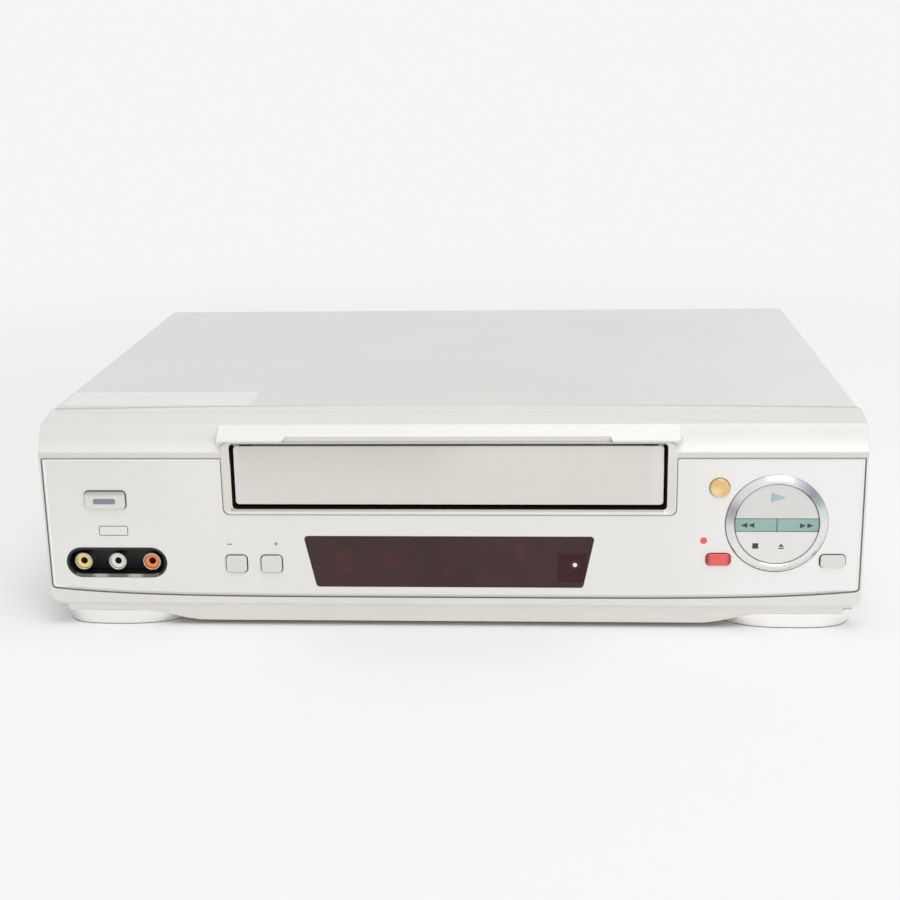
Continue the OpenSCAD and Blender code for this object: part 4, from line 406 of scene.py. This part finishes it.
# Light and dark drift over the surface, with flakes, brush lines, spangle or weave where a finish has them.
def driftOf(tree, coords, v):
    cloud = noiseOf(tree, coords, v["cloudScale"], (-900, 300))
    shade = spread(tree, cloud, 1 - v["cloud"], 1 + v["cloud"], (-650, 300))
    if v.get("speckle"):
        flakes = noiseOf(tree, coords, v["speckleScale"], (-900, 100), detail=1.0)
        flakes = spread(tree, flakes, 1 - v["speckle"], 1 + v["speckle"], (-650, 100))
        shade = product(tree, shade, flakes, (-400, 250))
    if v.get("brushed"):
        depth = v.get("brushDepth", 1)
        lines = noiseOf(tree, coords, 1, (-900, -80), detail=2.0, stretch=v["brushed"])
        lines = spread(tree, lines, 1 - shared["brushDark"] * depth, 1 + shared["brushLight"] * depth, (-650, -80))
        shade = product(tree, shade, lines, (-250, 200))
    if v.get("spangle"):
        scale, strength = v["spangle"]
        cells = addNode(tree, "ShaderNodeTexVoronoi", (-900, -150), Scale=float(scale))
        tree.links.new(coords, cells.inputs["Vector"])
        flat = addNode(tree, "ShaderNodeSeparateColor", (-700, -150))
        tree.links.new(cells.outputs["Color"], flat.inputs["Color"])
        leaves = spread(tree, flat.outputs[0], 1 - strength, 1 + strength, (-450, -150))
        shade = product(tree, shade, leaves, (-200, 100))
    if v.get("weave"):
        scale, strength = v["weave"]
        waves = addNode(tree, "ShaderNodeTexWave", (-900, -150), Scale=float(scale), Distortion=shared["weaveBend"])
        tree.links.new(coords, waves.inputs["Vector"])
        threads = spread(tree, waves.outputs["Fac"], 1 - strength, 1 + strength, (-450, -150))
        shade = product(tree, shade, threads, (-200, 100))
    return shade


# Where the surface turns, the finish is rubbed lighter.
def wornColour(tree, coords, colour, soft, v):
    flat = addNode(tree, "ShaderNodeNewGeometry", (-400, -650))
    facing = addNode(tree, "ShaderNodeVectorMath", (-200, -550), operation="DOT_PRODUCT")
    tree.links.new(soft.outputs["Normal"], facing.inputs[0])
    tree.links.new(flat.outputs["Normal"], facing.inputs[1])
    edge = spread(tree, facing.outputs["Value"], 0.0, v["wear"], (0, -550), shared["wearTurn"])
    patchy = spread(tree, noiseOf(tree, coords, shared["wearScale"], (0, -750)), *shared["wearRange"], (150, -750))
    worn = [min(shared["wornMost"], c * shared["wornLighter"] + shared["wornLift"]) for c in v["colour"]]
    mix = addNode(tree, "ShaderNodeMix", (350, 150), data_type="RGBA")
    tree.links.new(product(tree, edge, patchy, (250, -600)), mix.inputs[0])
    tree.links.new(colour, mix.inputs[6])
    mix.inputs[7].default_value = (*worn, 1)
    return mix.outputs[2]


def makeFinish(name, v):
    material = bpy.data.materials.new(name)
    material.use_nodes = True
    tree = material.node_tree
    tree.nodes.clear()
    out = addNode(tree, "ShaderNodeOutputMaterial", (900, 0))
    shader = addNode(tree, "ShaderNodeBsdfPrincipled", (600, 0))
    shader.inputs["Metallic"].default_value = v["metal"]
    shader.inputs["IOR"].default_value = shared["ior"]
    shader.inputs["Specular IOR Level"].default_value = v.get("gloss", shared["gloss"])
    tree.links.new(shader.outputs["BSDF"], out.inputs["Surface"])
    coords = addNode(tree, "ShaderNodeTexCoord", (-1200, 0)).outputs["Object"]
    tint = addNode(tree, "ShaderNodeVectorMath", (100, 200), operation="SCALE")
    tint.inputs[0].default_value = v["colour"]
    tree.links.new(driftOf(tree, coords, v), tint.inputs["Scale"])
    colour = tint.outputs["Vector"]
    if v.get("patches"):
        softness = v.get("patchSoft", shared["patchSoft"])
        tree.links.new(patched(tree, coords, v["colour"], v["patches"], softness), tint.inputs[0])
    # painted reflection: the turned ring's colour is multiplied by a ramp set by angle round the dial
    if v.get("turned"):
        colour = paintedReflection(tree, coords, colour, dial["centre"], dial["room"], (-600, 800))
    if v.get("glow"):
        shader.inputs["Emission Color"].default_value = (*v["colour"], 1)
        shader.inputs["Emission Strength"].default_value = v["glow"]
    # edges are rounded in the shading too
    soft = addNode(tree, "ShaderNodeBevel", (-400, -500), samples=4)
    soft.inputs["Radius"].default_value = v.get("edge", shared["edge"]) * mm
    if v.get("wear"):
        colour = wornColour(tree, coords, colour, soft, v)
    tree.links.new(colour, shader.inputs["Base Color"])
    # hands and dust dull the gloss in patches
    dull = noiseOf(tree, coords, shared["smudgeScale"], (-900, -950), detail=4.0)
    dull = spread(tree, dull, v["rough"] - v["smudge"] * 0.5, v["rough"] + v["smudge"], (-650, -950))
    tree.links.new(dull, shader.inputs["Roughness"])
    fine = noiseOf(tree, coords, v["bumpScale"], (-900, -300), detail=2.0)
    bump = addNode(tree, "ShaderNodeBump", (300, -300), Distance=shared["bumpDistance"])
    bump.inputs["Strength"].default_value = v["bump"] * shared["bumpGain"]
    tree.links.new(fine, bump.inputs["Height"])
    tree.links.new(soft.outputs["Normal"], bump.inputs["Normal"])
    tree.links.new(bump.outputs["Normal"], shader.inputs["Normal"])
    return material


made = {name: makeFinish(name, values) for name, values in finishes.items()}
print("finishes made:", len(made))

for name, obj in nodes.items():
    slotName = obj.data.materials[0].name.split(".")[0]
    if slotName not in made:
        print("no finish for", name, slotName)
        continue
    obj.data.materials[0] = made[slotName]

# The photo's light: an even white room, one soft lamp in front at the right, one overhead. In metres.
light = {
    "backdrop": (0.915, 0.915, 0.91), "roomLight": 0.63,
    "sunStrength": 0.85, "sunHeight": 68, "sunTurn": 30, "sunSoftness": 40, "sunAway": 2,
    "frontPlace": (1.6, -2.1, 0.62), "frontSize": (0.8, 0.8), "frontPower": 16,
    "topPlace": (0.05, -0.16, 1.3), "topSize": (1.0, 0.55), "topPower": 1.7,
    "lampsAimAt": (0, -0.1, 0.05),
}
floorLook = {
    "colour": (0.91, 0.91, 0.905), "rough": 0.9, "gloss": 0.1, "reach": 60.0,
    "grainScale": 900, "grain": (0.995, 1.005), "fadeFrom": 0.42, "fadeTo": 1.1,
}


def seenDirectly(tree):  # 1 for the camera and for what metal and glass mirror
    rays = tree.nodes.new("ShaderNodeLightPath")
    total = rays.outputs["Is Camera Ray"]
    for name in ("Is Glossy Ray", "Is Transmission Ray"):
        add = addNode(tree, "ShaderNodeMath", (0, 0), operation="ADD", use_clamp=True)
        tree.links.new(total, add.inputs[0])
        tree.links.new(rays.outputs[name], add.inputs[1])
        total = add.outputs[0]
    return total


def makeWorld(values):
    world = bpy.data.worlds.new("room")
    bpy.context.scene.world = world
    world.use_nodes = True
    tree = world.node_tree
    tree.nodes.clear()
    out = tree.nodes.new("ShaderNodeOutputWorld")
    seen = tree.nodes.new("ShaderNodeBackground")
    seen.inputs["Color"].default_value = (*values["backdrop"], 1)
    lit = tree.nodes.new("ShaderNodeBackground")
    lit.inputs["Color"].default_value = (values["roomLight"],) * 3 + (1,)
    mix = tree.nodes.new("ShaderNodeMixShader")
    tree.links.new(seenDirectly(tree), mix.inputs[0])
    tree.links.new(lit.outputs[0], mix.inputs[1])
    tree.links.new(seen.outputs[0], mix.inputs[2])
    tree.links.new(mix.outputs[0], out.inputs["Surface"])


def aim(obj, place, target):
    obj.location = place
    obj.rotation_euler = (Vector(target) - Vector(place)).to_track_quat("-Z", "Y").to_euler()
    bpy.context.scene.collection.objects.link(obj)


# Not seen in gloss, so that from behind the cover doesn't burn out.
def areaLamp(name, place, size, power, target):
    data = bpy.data.lights.new(name, "AREA")
    data.shape, data.size, data.size_y, data.energy = "RECTANGLE", size[0], size[1], power
    lamp = bpy.data.objects.new(name, data)
    lamp.visible_glossy = False
    aim(lamp, place, target)


def makeSun(values):
    sun = bpy.data.lights.new("window", "SUN")
    sun.energy, sun.angle = values["sunStrength"], math.radians(values["sunSoftness"])
    height, turn = math.radians(values["sunHeight"]), math.radians(values["sunTurn"])
    way = Vector((math.sin(turn) * math.cos(height), -math.cos(turn) * math.cos(height), math.sin(height)))
    aim(bpy.data.objects.new("window", sun), way * values["sunAway"], (0, 0, 0))


makeWorld(light)
makeSun(light)
for which in ("front", "top"):
    place, size, power = (light[which + k] for k in ("Place", "Size", "Power"))
    areaLamp(which + "Lamp", place, size, power, light["lampsAimAt"])


def makeFloor(values, backdrop):
    mesh = bpy.data.meshes.new("floor")
    r = values["reach"]
    mesh.from_pydata([(-r, -r, 0), (r, -r, 0), (r, r, 0), (-r, r, 0)], [], [(0, 1, 2, 3)])
    floor = bpy.data.objects.new("floor", mesh)
    bpy.context.scene.collection.objects.link(floor)
    material = bpy.data.materials.new("floor")
    material.use_nodes = True
    tree = material.node_tree
    shader = tree.nodes["Principled BSDF"]
    shader.inputs["Roughness"].default_value = values["rough"]
    shader.inputs["Specular IOR Level"].default_value = values["gloss"]
    coords = tree.nodes.new("ShaderNodeTexCoord")
    paper = addNode(tree, "ShaderNodeTexNoise", (-500, 0), Scale=values["grainScale"])
    tree.links.new(coords.outputs["Object"], paper.inputs["Vector"])
    tint = addNode(tree, "ShaderNodeVectorMath", (-100, 0), operation="SCALE")
    tint.inputs[0].default_value = values["colour"]
    tree.links.new(spread(tree, paper.outputs["Fac"], *values["grain"], (-300, 0)), tint.inputs["Scale"])
    tree.links.new(tint.outputs["Vector"], shader.inputs["Base Color"])
    # far from the object the paper runs into the backdrop without a seam
    apart = addNode(tree, "ShaderNodeVectorMath", (-300, 400), operation="LENGTH")
    tree.links.new(coords.outputs["Object"], apart.inputs[0])
    fade = addNode(tree, "ShaderNodeMapRange", (-100, 400), interpolation_type="SMOOTHSTEP")
    fade.inputs["From Min"].default_value = values["fadeFrom"]
    fade.inputs["From Max"].default_value = values["fadeTo"]
    tree.links.new(apart.outputs["Value"], fade.inputs["Value"])
    paperGlow = addNode(tree, "ShaderNodeEmission", (-100, 250))
    paperGlow.inputs["Color"].default_value = (*backdrop, 1)
    mix = addNode(tree, "ShaderNodeMixShader", (300, 300))
    tree.links.new(product(tree, fade.outputs["Result"], seenDirectly(tree), (100, 400)), mix.inputs[0])
    tree.links.new(shader.outputs["BSDF"], mix.inputs[1])
    tree.links.new(paperGlow.outputs["Emission"], mix.inputs[2])
    tree.links.new(mix.outputs[0], tree.nodes["Material Output"].inputs["Surface"])
    mesh.materials.append(material)


makeFloor(floorLook, light["backdrop"])
print("floor and light set")

# Moulded and pressed edges are rounded a little: width in mm by node.
softEdges = {
    "cassette_door": 0.3,
    "play_button": 0.25, "stop_eject_button": 0.25, "rewind_button": 0.25, "fast_forward_button": 0.25,
    "power_button": 0.3, "channel_down_button": 0.3, "channel_up_button": 0.3, "quick_play_button": 0.4,
    "record_button": 0.3, "pause_button": 0.3, "rear_feet": 0.4,
}
rounding = {"weld": 1e-6, "flatWithin": 0.8, "roundAbove": 28, "segments": 2}  # metres, then degrees


def soften(obj, width, values):
    weld = obj.modifiers.new("weld", "WELD")
    weld.merge_threshold = values["weld"]
    flat = obj.modifiers.new("flat", "DECIMATE")
    flat.decimate_type, flat.angle_limit = "DISSOLVE", math.radians(values["flatWithin"])
    rounded = obj.modifiers.new("round", "BEVEL")
    rounded.width, rounded.segments, rounded.limit_method = width * mm, values["segments"], "ANGLE"
    rounded.angle_limit = math.radians(values["roundAbove"])
    rounded.harden_normals = True


for name, width in softEdges.items():
    soften(nodes[name], width, rounding)
print("edges softened")


# Shapes are drawn seen from the front, as lists of (right, up) in millimetres, and given depth afterwards.
def newPiece(name, points, faces, slotName, finish=None, body="casing", sharp=32):
    mesh = bpy.data.meshes.new(name)
    mesh.from_pydata([at(*p) for p in points], [], faces)
    work = bmesh.new()
    work.from_mesh(mesh)
    bmesh.ops.recalc_face_normals(work, faces=work.faces)
    work.to_mesh(mesh)
    work.free()
    mesh.polygons.foreach_set("use_smooth", [True] * len(mesh.polygons))
    mesh.set_sharp_from_angle(angle=math.radians(sharp))
    mesh.materials.append(made[finish or slotName])
    obj = bpy.data.objects.new(name, mesh)
    bpy.context.scene.collection.objects.link(obj)
    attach(obj, body)
    return obj


def loft(loops, closed=True, capFirst=False, capLast=False):
    count = len(loops[0])
    faces = []
    for k in range(len(loops) - 1):
        for i in range(count if closed else count - 1):
            j = (i + 1) % count
            faces.append((k * count + i, k * count + j, (k + 1) * count + j, (k + 1) * count + i))
    if capFirst:
        faces.append(tuple(range(count)))
    if capLast:
        faces.append(tuple((len(loops) - 1) * count + i for i in range(count)))
    return [p for loop in loops for p in loop], faces


def standing(outline, y):  # an outline on the front, at a depth
    return [(x, y, z) for x, z in outline]


def pairOf(makeOne):  # the left one and the right one as one mesh
    allPoints, allFaces = [], []
    for side in (-1, 1):
        points, faces = makeOne(side)
        allFaces += [tuple(i + len(allPoints) for i in face) for face in faces]
        allPoints += points
    return allPoints, allFaces


def arc(cx, cz, r, angles):
    return [(cx + r * math.cos(math.radians(a)), cz + r * math.sin(math.radians(a))) for a in angles]


def mirrored(outline):
    return [(-x, z) for x, z in reversed(outline)]


def roundBox(x0, x1, z0, z1, lowR, topR, steps=8):
    outline = []
    for cx, cz, r, start in ((x1 - lowR, z0 + lowR, lowR, -90), (x1 - topR, z1 - topR, topR, 0),
                             (x0 + topR, z1 - topR, topR, 90), (x0 + lowR, z0 + lowR, lowR, 180)):
        outline += arc(cx, cz, r, [start + 90 * i / steps for i in range(steps + 1)])
    return outline


def circle(cx, cz, r, count=96):
    return [(cx + r * math.cos(2 * math.pi * i / count), cz + r * math.sin(2 * math.pi * i / count))
            for i in range(count)]


def moved(path, distance, closed):
    result = []
    count = len(path)
    for i, (x, z) in enumerate(path):
        sides = []
        for a, b in ((i - 1, i), (i, i + 1)):
            if closed or (a >= 0 and b < count):
                (ax, az), (bx, bz) = path[a % count], path[b % count]
                length = math.hypot(bx - ax, bz - az) or 1
                sides.append((-(bz - az) / length, (bx - ax) / length))
        nx, nz = [sum(s[k] for s in sides) / len(sides) for k in (0, 1)]
        square = nx * nx + nz * nz
        result.append((x + nx * distance / square, z + nz * distance / square))
    return result


def moulding(name, path, profile, closed, slotName, finish=None, body="casing"):
    loops = [standing(moved(path, inward, closed), y) for inward, y in profile]
    return newPiece(name, *loft(loops, closed), slotName, finish, body)


# A polished bead runs round the fascia plate, beside the dark gap, which is a strip of painted shade. Profiles are
# inset and depth.
fascia = {
    "halfWidth": 188.8, "top": 82.7, "hoodEnd": 105.6, "lowRadius": 1.5, "topRadius": 0.8,
    "lowMiddle": 15.2, "lowRise": 4, "lowCurve": 5, "lowSteps": 60, "cornerStep": 15,
    "face": 0.4,
    "bead": [(1.35, 0.41), (1.1, 0.26), (0.75, 0.14), (0.35, 0.2), (0.08, 0.5), (0.0, 0.9)],
    "gap": [(0.06, 0.5), (0.02, 0.05), (-0.12, -0.03), (-0.38, -0.03), (-0.42, 0.1)],
}


def fasciaEdge(x, values):
    return values["lowMiddle"] + values["lowRise"] * abs(x / values["halfWidth"]) ** values["lowCurve"]


def fasciaPath(values):
    end, top, r, topR = (values[k] for k in ("halfWidth", "top", "lowRadius", "topRadius"))
    count, step = values["lowSteps"], values["cornerStep"]
    right = arc(end - r, fasciaEdge(end, values) + r, r, range(-90 + step, 1, step))
    places = [2 * i / count - 1 for i in range(count + 1)]
    under = [((end - r) * place, fasciaEdge((end - r) * place, values)) for place in places]
    corner = arc(end - topR, top - topR, topR, range(0, 91, step))
    start, finish = (-values["hoodEnd"], top), (values["hoodEnd"], top)
    return [start] + mirrored(corner) + mirrored(right) + under + right + corner + [finish]


for name, finish in (("bead", "fascia_edge"), ("gap", "gap_shade")):
    moulding("fascia" + name.title(), fasciaPath(fascia), fascia[name], False, "fascia_paint", finish)

# The moulded frame round the cassette slot falls in towards the door, and the lining runs on behind it.
# Rows are depth, then how far beyond the slot at the side, below and above, then corner radii.
slot = {
    "halfWidth": 99.5, "low": 59, "top": 89.4,
    "liftFrom": 79.0, "liftTo": 82.3, "liftFace": -0.05, "liftSlope": 0.02, "liftWithin": 1.25,
    "frame": [
        (1.3, 5.15, 3.35, 1.30, 3.2, 4.2), (0.3, 5.15, 3.35, 1.30, 3.2, 4.2),
        (-0.02, 5.0, 3.22, 1.22, 3.1, 4.1), (-0.25, 4.7, 3.0, 1.15, 2.9, 3.9),
        (-0.28, 4.3, 2.75, 1.08, 2.7, 3.5), (0.0, 3.9, 2.3, 1.0, 2.6, 3.2),
        (0.75, 1.5, 1.35, 0.62, 2.2, 2.0), (0.95, 1.1, 1.05, 0.42, 2.0, 1.8),
        (1.1, 0.95, 0.9, 0.32, 1.9, 1.7)],
    "lining": [
        (1.05, 0.98, 0.93, 0.34, 1.9, 1.7), (1.12, 0.5, 0.45, 0.2, 1.8, 1.6),
        (1.14, 0.0, 0.0, 0.06, 1.7, 1.5), (1.3, -0.06, -0.06, 0.03, 1.7, 1.5),
        (7.0, -0.06, -0.06, 0.03, 1.5, 1.2)],
}


def slotLoop(values, side, low, top, lowR, topR):
    half = values["halfWidth"] + side
    outline = roundBox(-half, half, values["low"] - low, values["top"] + top, lowR, topR)
    cuts = (values["liftFrom"], values["liftTo"])
    full = []
    for (x, z), (nextX, nextZ) in zip(outline, outline[1:] + outline[:1]):
        full.append((x, z))
        if abs(nextZ - z) > 10:  # the two upright sides
            full += [(x, cut) for cut in (cuts if nextZ > z else cuts[::-1])]
    return full


# Beside the slot's upper end the frame stands in front of the band, so it is lifted there.
def lifted(values, depth, z):
    if depth >= values["liftWithin"]:
        return depth
    rise = min(1, max(0, (z - values["liftFrom"]) / (values["liftTo"] - values["liftFrom"])))
    return depth + rise * (min(depth, values["liftFace"] + values["liftSlope"] * depth) - depth)


def slotRing(name, values, rows, slotName, finish):
    loops = [[(x, lifted(values, depth, z), z) for x, z in slotLoop(values, *room)] for depth, *room in rows]
    return newPiece(name, *loft(loops), slotName, finish)


slotRing("slotFrame", slot, slot["frame"], "bezel_plastic", "frame_paint")
# the lining's near-black also stands in as painted shade for the shadow gap round the door
slotRing("slotLining", slot, slot["lining"], "black_plastic", "slot_black")


def makeRing(values):
    loops = [standing(circle(*values["centre"], r, values["steps"]), depth) for r, depth in values["rows"]]
    return newPiece("dialRing", *loft(loops + loops[:1]), "ring_chrome", "ring_mirror", sharp=50)


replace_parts(makeRing(dial), "dial_ring")


def plate(name, outlines, y, thick, slotName, finish, body="casing"):
    points, faces = [], []
    for outline in outlines:
        start, count = len(points), len(outline)
        points += standing(outline, y - thick) + standing(outline, y)
        faces.append(tuple(start + i for i in range(count)))
        for i in range(count):
            j = (i + 1) % count
            faces.append((start + i, start + j, start + count + j, start + count + i))
    return newPiece(name, points, faces, slotName, finish, body)


def arrow(x0, x1, z0, z1, left=False):
    middle = (z0 + z1) / 2
    return [(x1, z0), (x1, z1), (x0, middle)] if left else [(x0, z0), (x1, middle), (x0, z1)]


def block(x0, x1, z0, z1):
    return [(x0, z0), (x1, z0), (x1, z1), (x0, z1)]


# Printed marks: a hair of ink on each surface. Each is its outlines, depth, slot, ink and body.
inkThick = 0.03
keyFace = -0.5
marks = {
    "Play": ([arrow(147.2, 153.9, 62.1, 67.0)], keyFace, "dial_silver", "ink_teal", "play_key"),
    "Rewind": ([arrow(134.1, 136.9, 50.0, 52.5, True), arrow(137.4, 140.1, 50.0, 52.5, True)],
               keyFace, "key_teal", "ink_dark", "rewind_key"),
    "Forward": ([arrow(160.7, 163.4, 49.9, 52.3), arrow(164.0, 166.8, 49.9, 52.3)],
                keyFace, "key_teal", "ink_dark", "fast_forward_key"),
    "Stop": ([block(139.5, 142.2, 40.0, 42.6)], keyFace, "dial_silver", "ink_dark", "stop_eject_key"),
    "Eject": ([[(151.3, 40.9), (153.8, 40.9), (152.55, 42.4)], block(151.3, 153.8, 39.9, 40.4)],
              keyFace, "dial_silver", "ink_dark", "stop_eject_key"),
    "Record": ([circle(117.4, 43.5, 1.6, 28)], fascia["face"], "fascia_paint", "ink_red", "casing"),
    "Minus": ([block(-103.9, -101.7, 40.8, 41.2)], fascia["face"], "fascia_paint", "ink_dark", "casing"),
    "Plus": ([block(-81.8, -79.8, 41.05, 41.4), block(-80.97, -80.63, 40.2, 42.25)],
             fascia["face"], "fascia_paint", "ink_dark", "casing"),
}
for name, (outlines, depth, slotName, ink, body) in marks.items():
    plate("mark" + name, outlines, depth, inkThick, slotName, ink, body)

# The frame printed above the jacks.
inputMark = {"box": (-164.4, -150.6, 45.1, 49.9), "radius": 0.9, "line": 0.3, "steps": 4}


def makeInputMark(values, face):
    path = roundBox(*values["box"], values["radius"], values["radius"], values["steps"])
    profile = [(0, face), (0, face - inkThick), (values["line"], face - inkThick), (values["line"], face)]
    return moulding("markInput", path, profile, True, "fascia_paint", "ink_dark")


makeInputMark(inputMark, fascia["face"])

# The opening round each key is a dark line of painted shade, widest where the key stands lowest.
# Centre, size of the key, then the line's extra width at the left, right, below and above.
keyWells = {
    "power": ((-160.3, 62.6), (19, 8.4), (0.1, 0.3, 0.02, 0.3)),
    "channelDown": ((-99.8, 31.4), (9.6, 8.2), (0.22, 0.26, 0.16, 0.22)),
    "channelUp": ((-83.2, 31.4), (9.6, 8.2), (0.26, 0.22, 0.16, 0.22)),
    "record": ((124.3, 34.4), (10.9, 5.6), (0.06, 0.06, 0.01, 0.04)),
    "pause": ((176.3, 33.8), (11.2, 6), (0.35, 0.08, 0.03, 0.16)),
}
well = {"gap": 0.3, "holeRadius": 2.1, "rimRadius": 2.3, "rimBack": 0.05, "rimOut": 0.02, "deep": 1.6}


def makeWell(name, centre, size, extra, values, face):
    (cx, cz), (w, h), (left, right, below, above) = centre, size, extra
    gap = values["gap"]
    x0, x1, z0, z1 = cx - w / 2 - gap, cx + w / 2 + gap, cz - h / 2 - gap, cz + h / 2 + gap
    hole = roundBox(x0, x1, z0, z1, values["holeRadius"], values["holeRadius"])
    rim = roundBox(x0 - left, x1 + right, z0 - below, z1 + above, values["rimRadius"], values["rimRadius"])
    rows = ((rim, values["rimBack"]), (rim, -values["rimOut"]), (hole, -values["rimOut"]), (hole, values["deep"]))
    loops = [standing(outline, face + depth) for outline, depth in rows]
    newPiece(name + "Well", *loft(loops), "fascia_paint", "well_shade")


for key, (centre, size, extra) in keyWells.items():
    makeWell(key, centre, size, extra, well, fascia["face"])


def makeRingGap(values):
    cx, cz = values["centre"]
    loops = [standing(circle(cx + shift, cz + shift, r, values["gapSteps"]), y) for r, shift, y in values["gap"]]
    newPiece("ringGap", *loft(loops), "fascia_paint", "well_shade")


makeRingGap(dial)

# The round key is crowned, and the pin bores of the front jacks get a dark cap inside as painted shade. Rows are
# radius, depth.
crown = {
    "centre": (124.1, 68.9), "steps": 48,
    "rows": [(4.1, -0.72), (4.0, -0.84), (3.7, -0.95), (3.1, -1.1), (2.3, -1.22), (1.4, -1.3), (0.5, -1.33)],
}
jacks = {
    "across": {"video": -173.5, "audioLeft": -157.1, "audioRight": -140.7}, "up": 31.7, "steps": 32,
    "bore": [(1.62, 3.17), (1.5, 3.19), (1.45, 3.6)],
    "sillEnd": -173.7, "sillMiddle": -157.1, "sillRadius": 7.5, "sillAngles": range(240, 271, 5),
    "sill": [(0.1, 0.6), (0.2, 0.36), (1.1, 0.36), (1.75, 0.5)],
}


def turned(name, centre, rows, steps, slotName, finish=None, body="casing"):
    loops = [standing(circle(*centre, r, steps), y) for r, y in rows]
    newPiece(name, *loft(loops, capLast=True), slotName, finish, body)


turned("roundKeyCrown", crown["centre"], crown["rows"], crown["steps"], "key_gold", body="quick_play_key")
for name, x in jacks["across"].items():
    turned(name + "Bore", (x, jacks["up"]), jacks["bore"], jacks["steps"], "black_plastic", "bore_dark")


# The lower wall of the jack recess is painted lighter where it catches the light: painted light.
def makeSill(values):
    left = arc(values["sillEnd"], values["up"], values["sillRadius"], values["sillAngles"])
    path = left + [(2 * values["sillMiddle"] - x, z) for x, z in reversed(left)]
    moulding("recessSill", path, values["sill"], False, "black_plastic", "sill")


makeSill(jacks)

# The skirt rises towards its ends. They stand under the lip, beside the feet.
skirt = {
    "low": 2.5, "rise": 4.9, "riseFrom": 117, "riseOver": 29,
    "end": (181, 186.3, 10.4, 12.6), "endLowRadius": 1.0, "endTopRadius": 0.6, "endDepth": (1.0, 4.5),
}


def skirtEdge(x, values):
    t = min(1, max(0, (abs(x) - values["riseFrom"]) / values["riseOver"]))
    return values["low"] + values["rise"] * t * t * (3 - 2 * t)


def skirtEnd(side):
    outline = roundBox(*skirt["end"], skirt["endLowRadius"], skirt["endTopRadius"])
    outline = [(side * x, z) for x, z in outline]
    return loft([standing(outline, y) for y in skirt["endDepth"]], capFirst=True)


newPiece("skirtEnds", *pairOf(skirtEnd), "bezel_plastic")

# The front feet follow the skirt's edge. Rows are the outline's inset, then height; "top" meets the skirt.
feet = {
    "centre": (158, 23.3), "steps": 144, "halfDepth": 22,
    "outerHalf": {-1: 28.5, 1: 30.5}, "outerPower": 2 / 3.2, "innerHalf": 34.5, "innerPower": 2 / 2.3,
    "top": 7.3, "overlap": 0.3, "skirtBack": 5.2, "skirtEnd": 182,
    "body": [(1.2, 0.2), (0.7, 0.3), (0.5, 0.75), (0.2, 2.6), (0.0, 4.6), (0.0, "top"), (4.3, 7.35), (4.3, 8.6)],
    "sole": [(1.1, 0.0), (0.75, 0.06), (0.7, 0.42), (1.6, 0.45)],
}


def footOutline(values, side, inward):
    cx, cy = values["centre"]
    outline = []
    for i in range(values["steps"]):
        a = 2 * math.pi * i / values["steps"]
        c, s = math.cos(a), math.sin(a)
        outer = c * side > 0
        half = values["outerHalf"][side] if outer else values["innerHalf"]
        power = values["outerPower"] if outer else values["innerPower"]
        x = (half - inward) * math.copysign(abs(c) ** power, c)
        y = cy + (values["halfDepth"] - inward) * math.copysign(abs(s) ** power, s)
        outline.append((cx * side + x, y))
    return outline


def footTop(values, x, y):
    if y < values["skirtBack"] and abs(x) < values["skirtEnd"]:
        return min(values["top"], skirtEdge(x, skirt) + values["overlap"])
    return values["top"]


def feetPiece(name, values, rows, finish):
    def oneFoot(side):
        loops = [[(x, y, footTop(values, x, y) if z == "top" else z) for x, y in footOutline(values, side, inward)]
                 for inward, z in rows]
        return loft(loops, capFirst=True, capLast=True)

    return newPiece(name, *pairOf(oneFoot), "foot_gloss", finish, sharp=40)


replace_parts(feetPiece("frontFeet", feet, feet["body"], "foot_gloss"), "front_feet")
feetPiece("frontFeetSoles", feet, feet["sole"], "foot_rubber")

# A clear film was left on the cover's front left corner: left, right, front and back, then heights.
film = {"box": (-187, -95, 28.5, 56), "radius": 3, "bottom": 100.99, "thick": 0.02}


def makeFilm(values):
    outline = roundBox(*values["box"], values["radius"], values["radius"])
    loops = [[(x, y, values["bottom"] + lift) for x, y in outline] for lift in (0, values["thick"])]
    newPiece("coverFilm", *loft(loops, capFirst=True, capLast=True), "cover_paint", "film")


makeFilm(film)

# The standby lamp behind the window. Parts are radius, steps, depth, finish.
standby = {
    "centre": (58.6, 31.3), "thick": 0.02,
    "parts": {"windowLampRing": (2.3, 40, 0.5, "lamp_surround"), "windowLamp": (1.0, 32, 0.48, "lamp_white")},
}
for name, (radius, steps, depth, finish) in standby["parts"].items():
    outline = circle(*standby["centre"], radius, steps)
    plate(name, [outline], depth, standby["thick"], "window_dark", finish)
print("front pieces made")
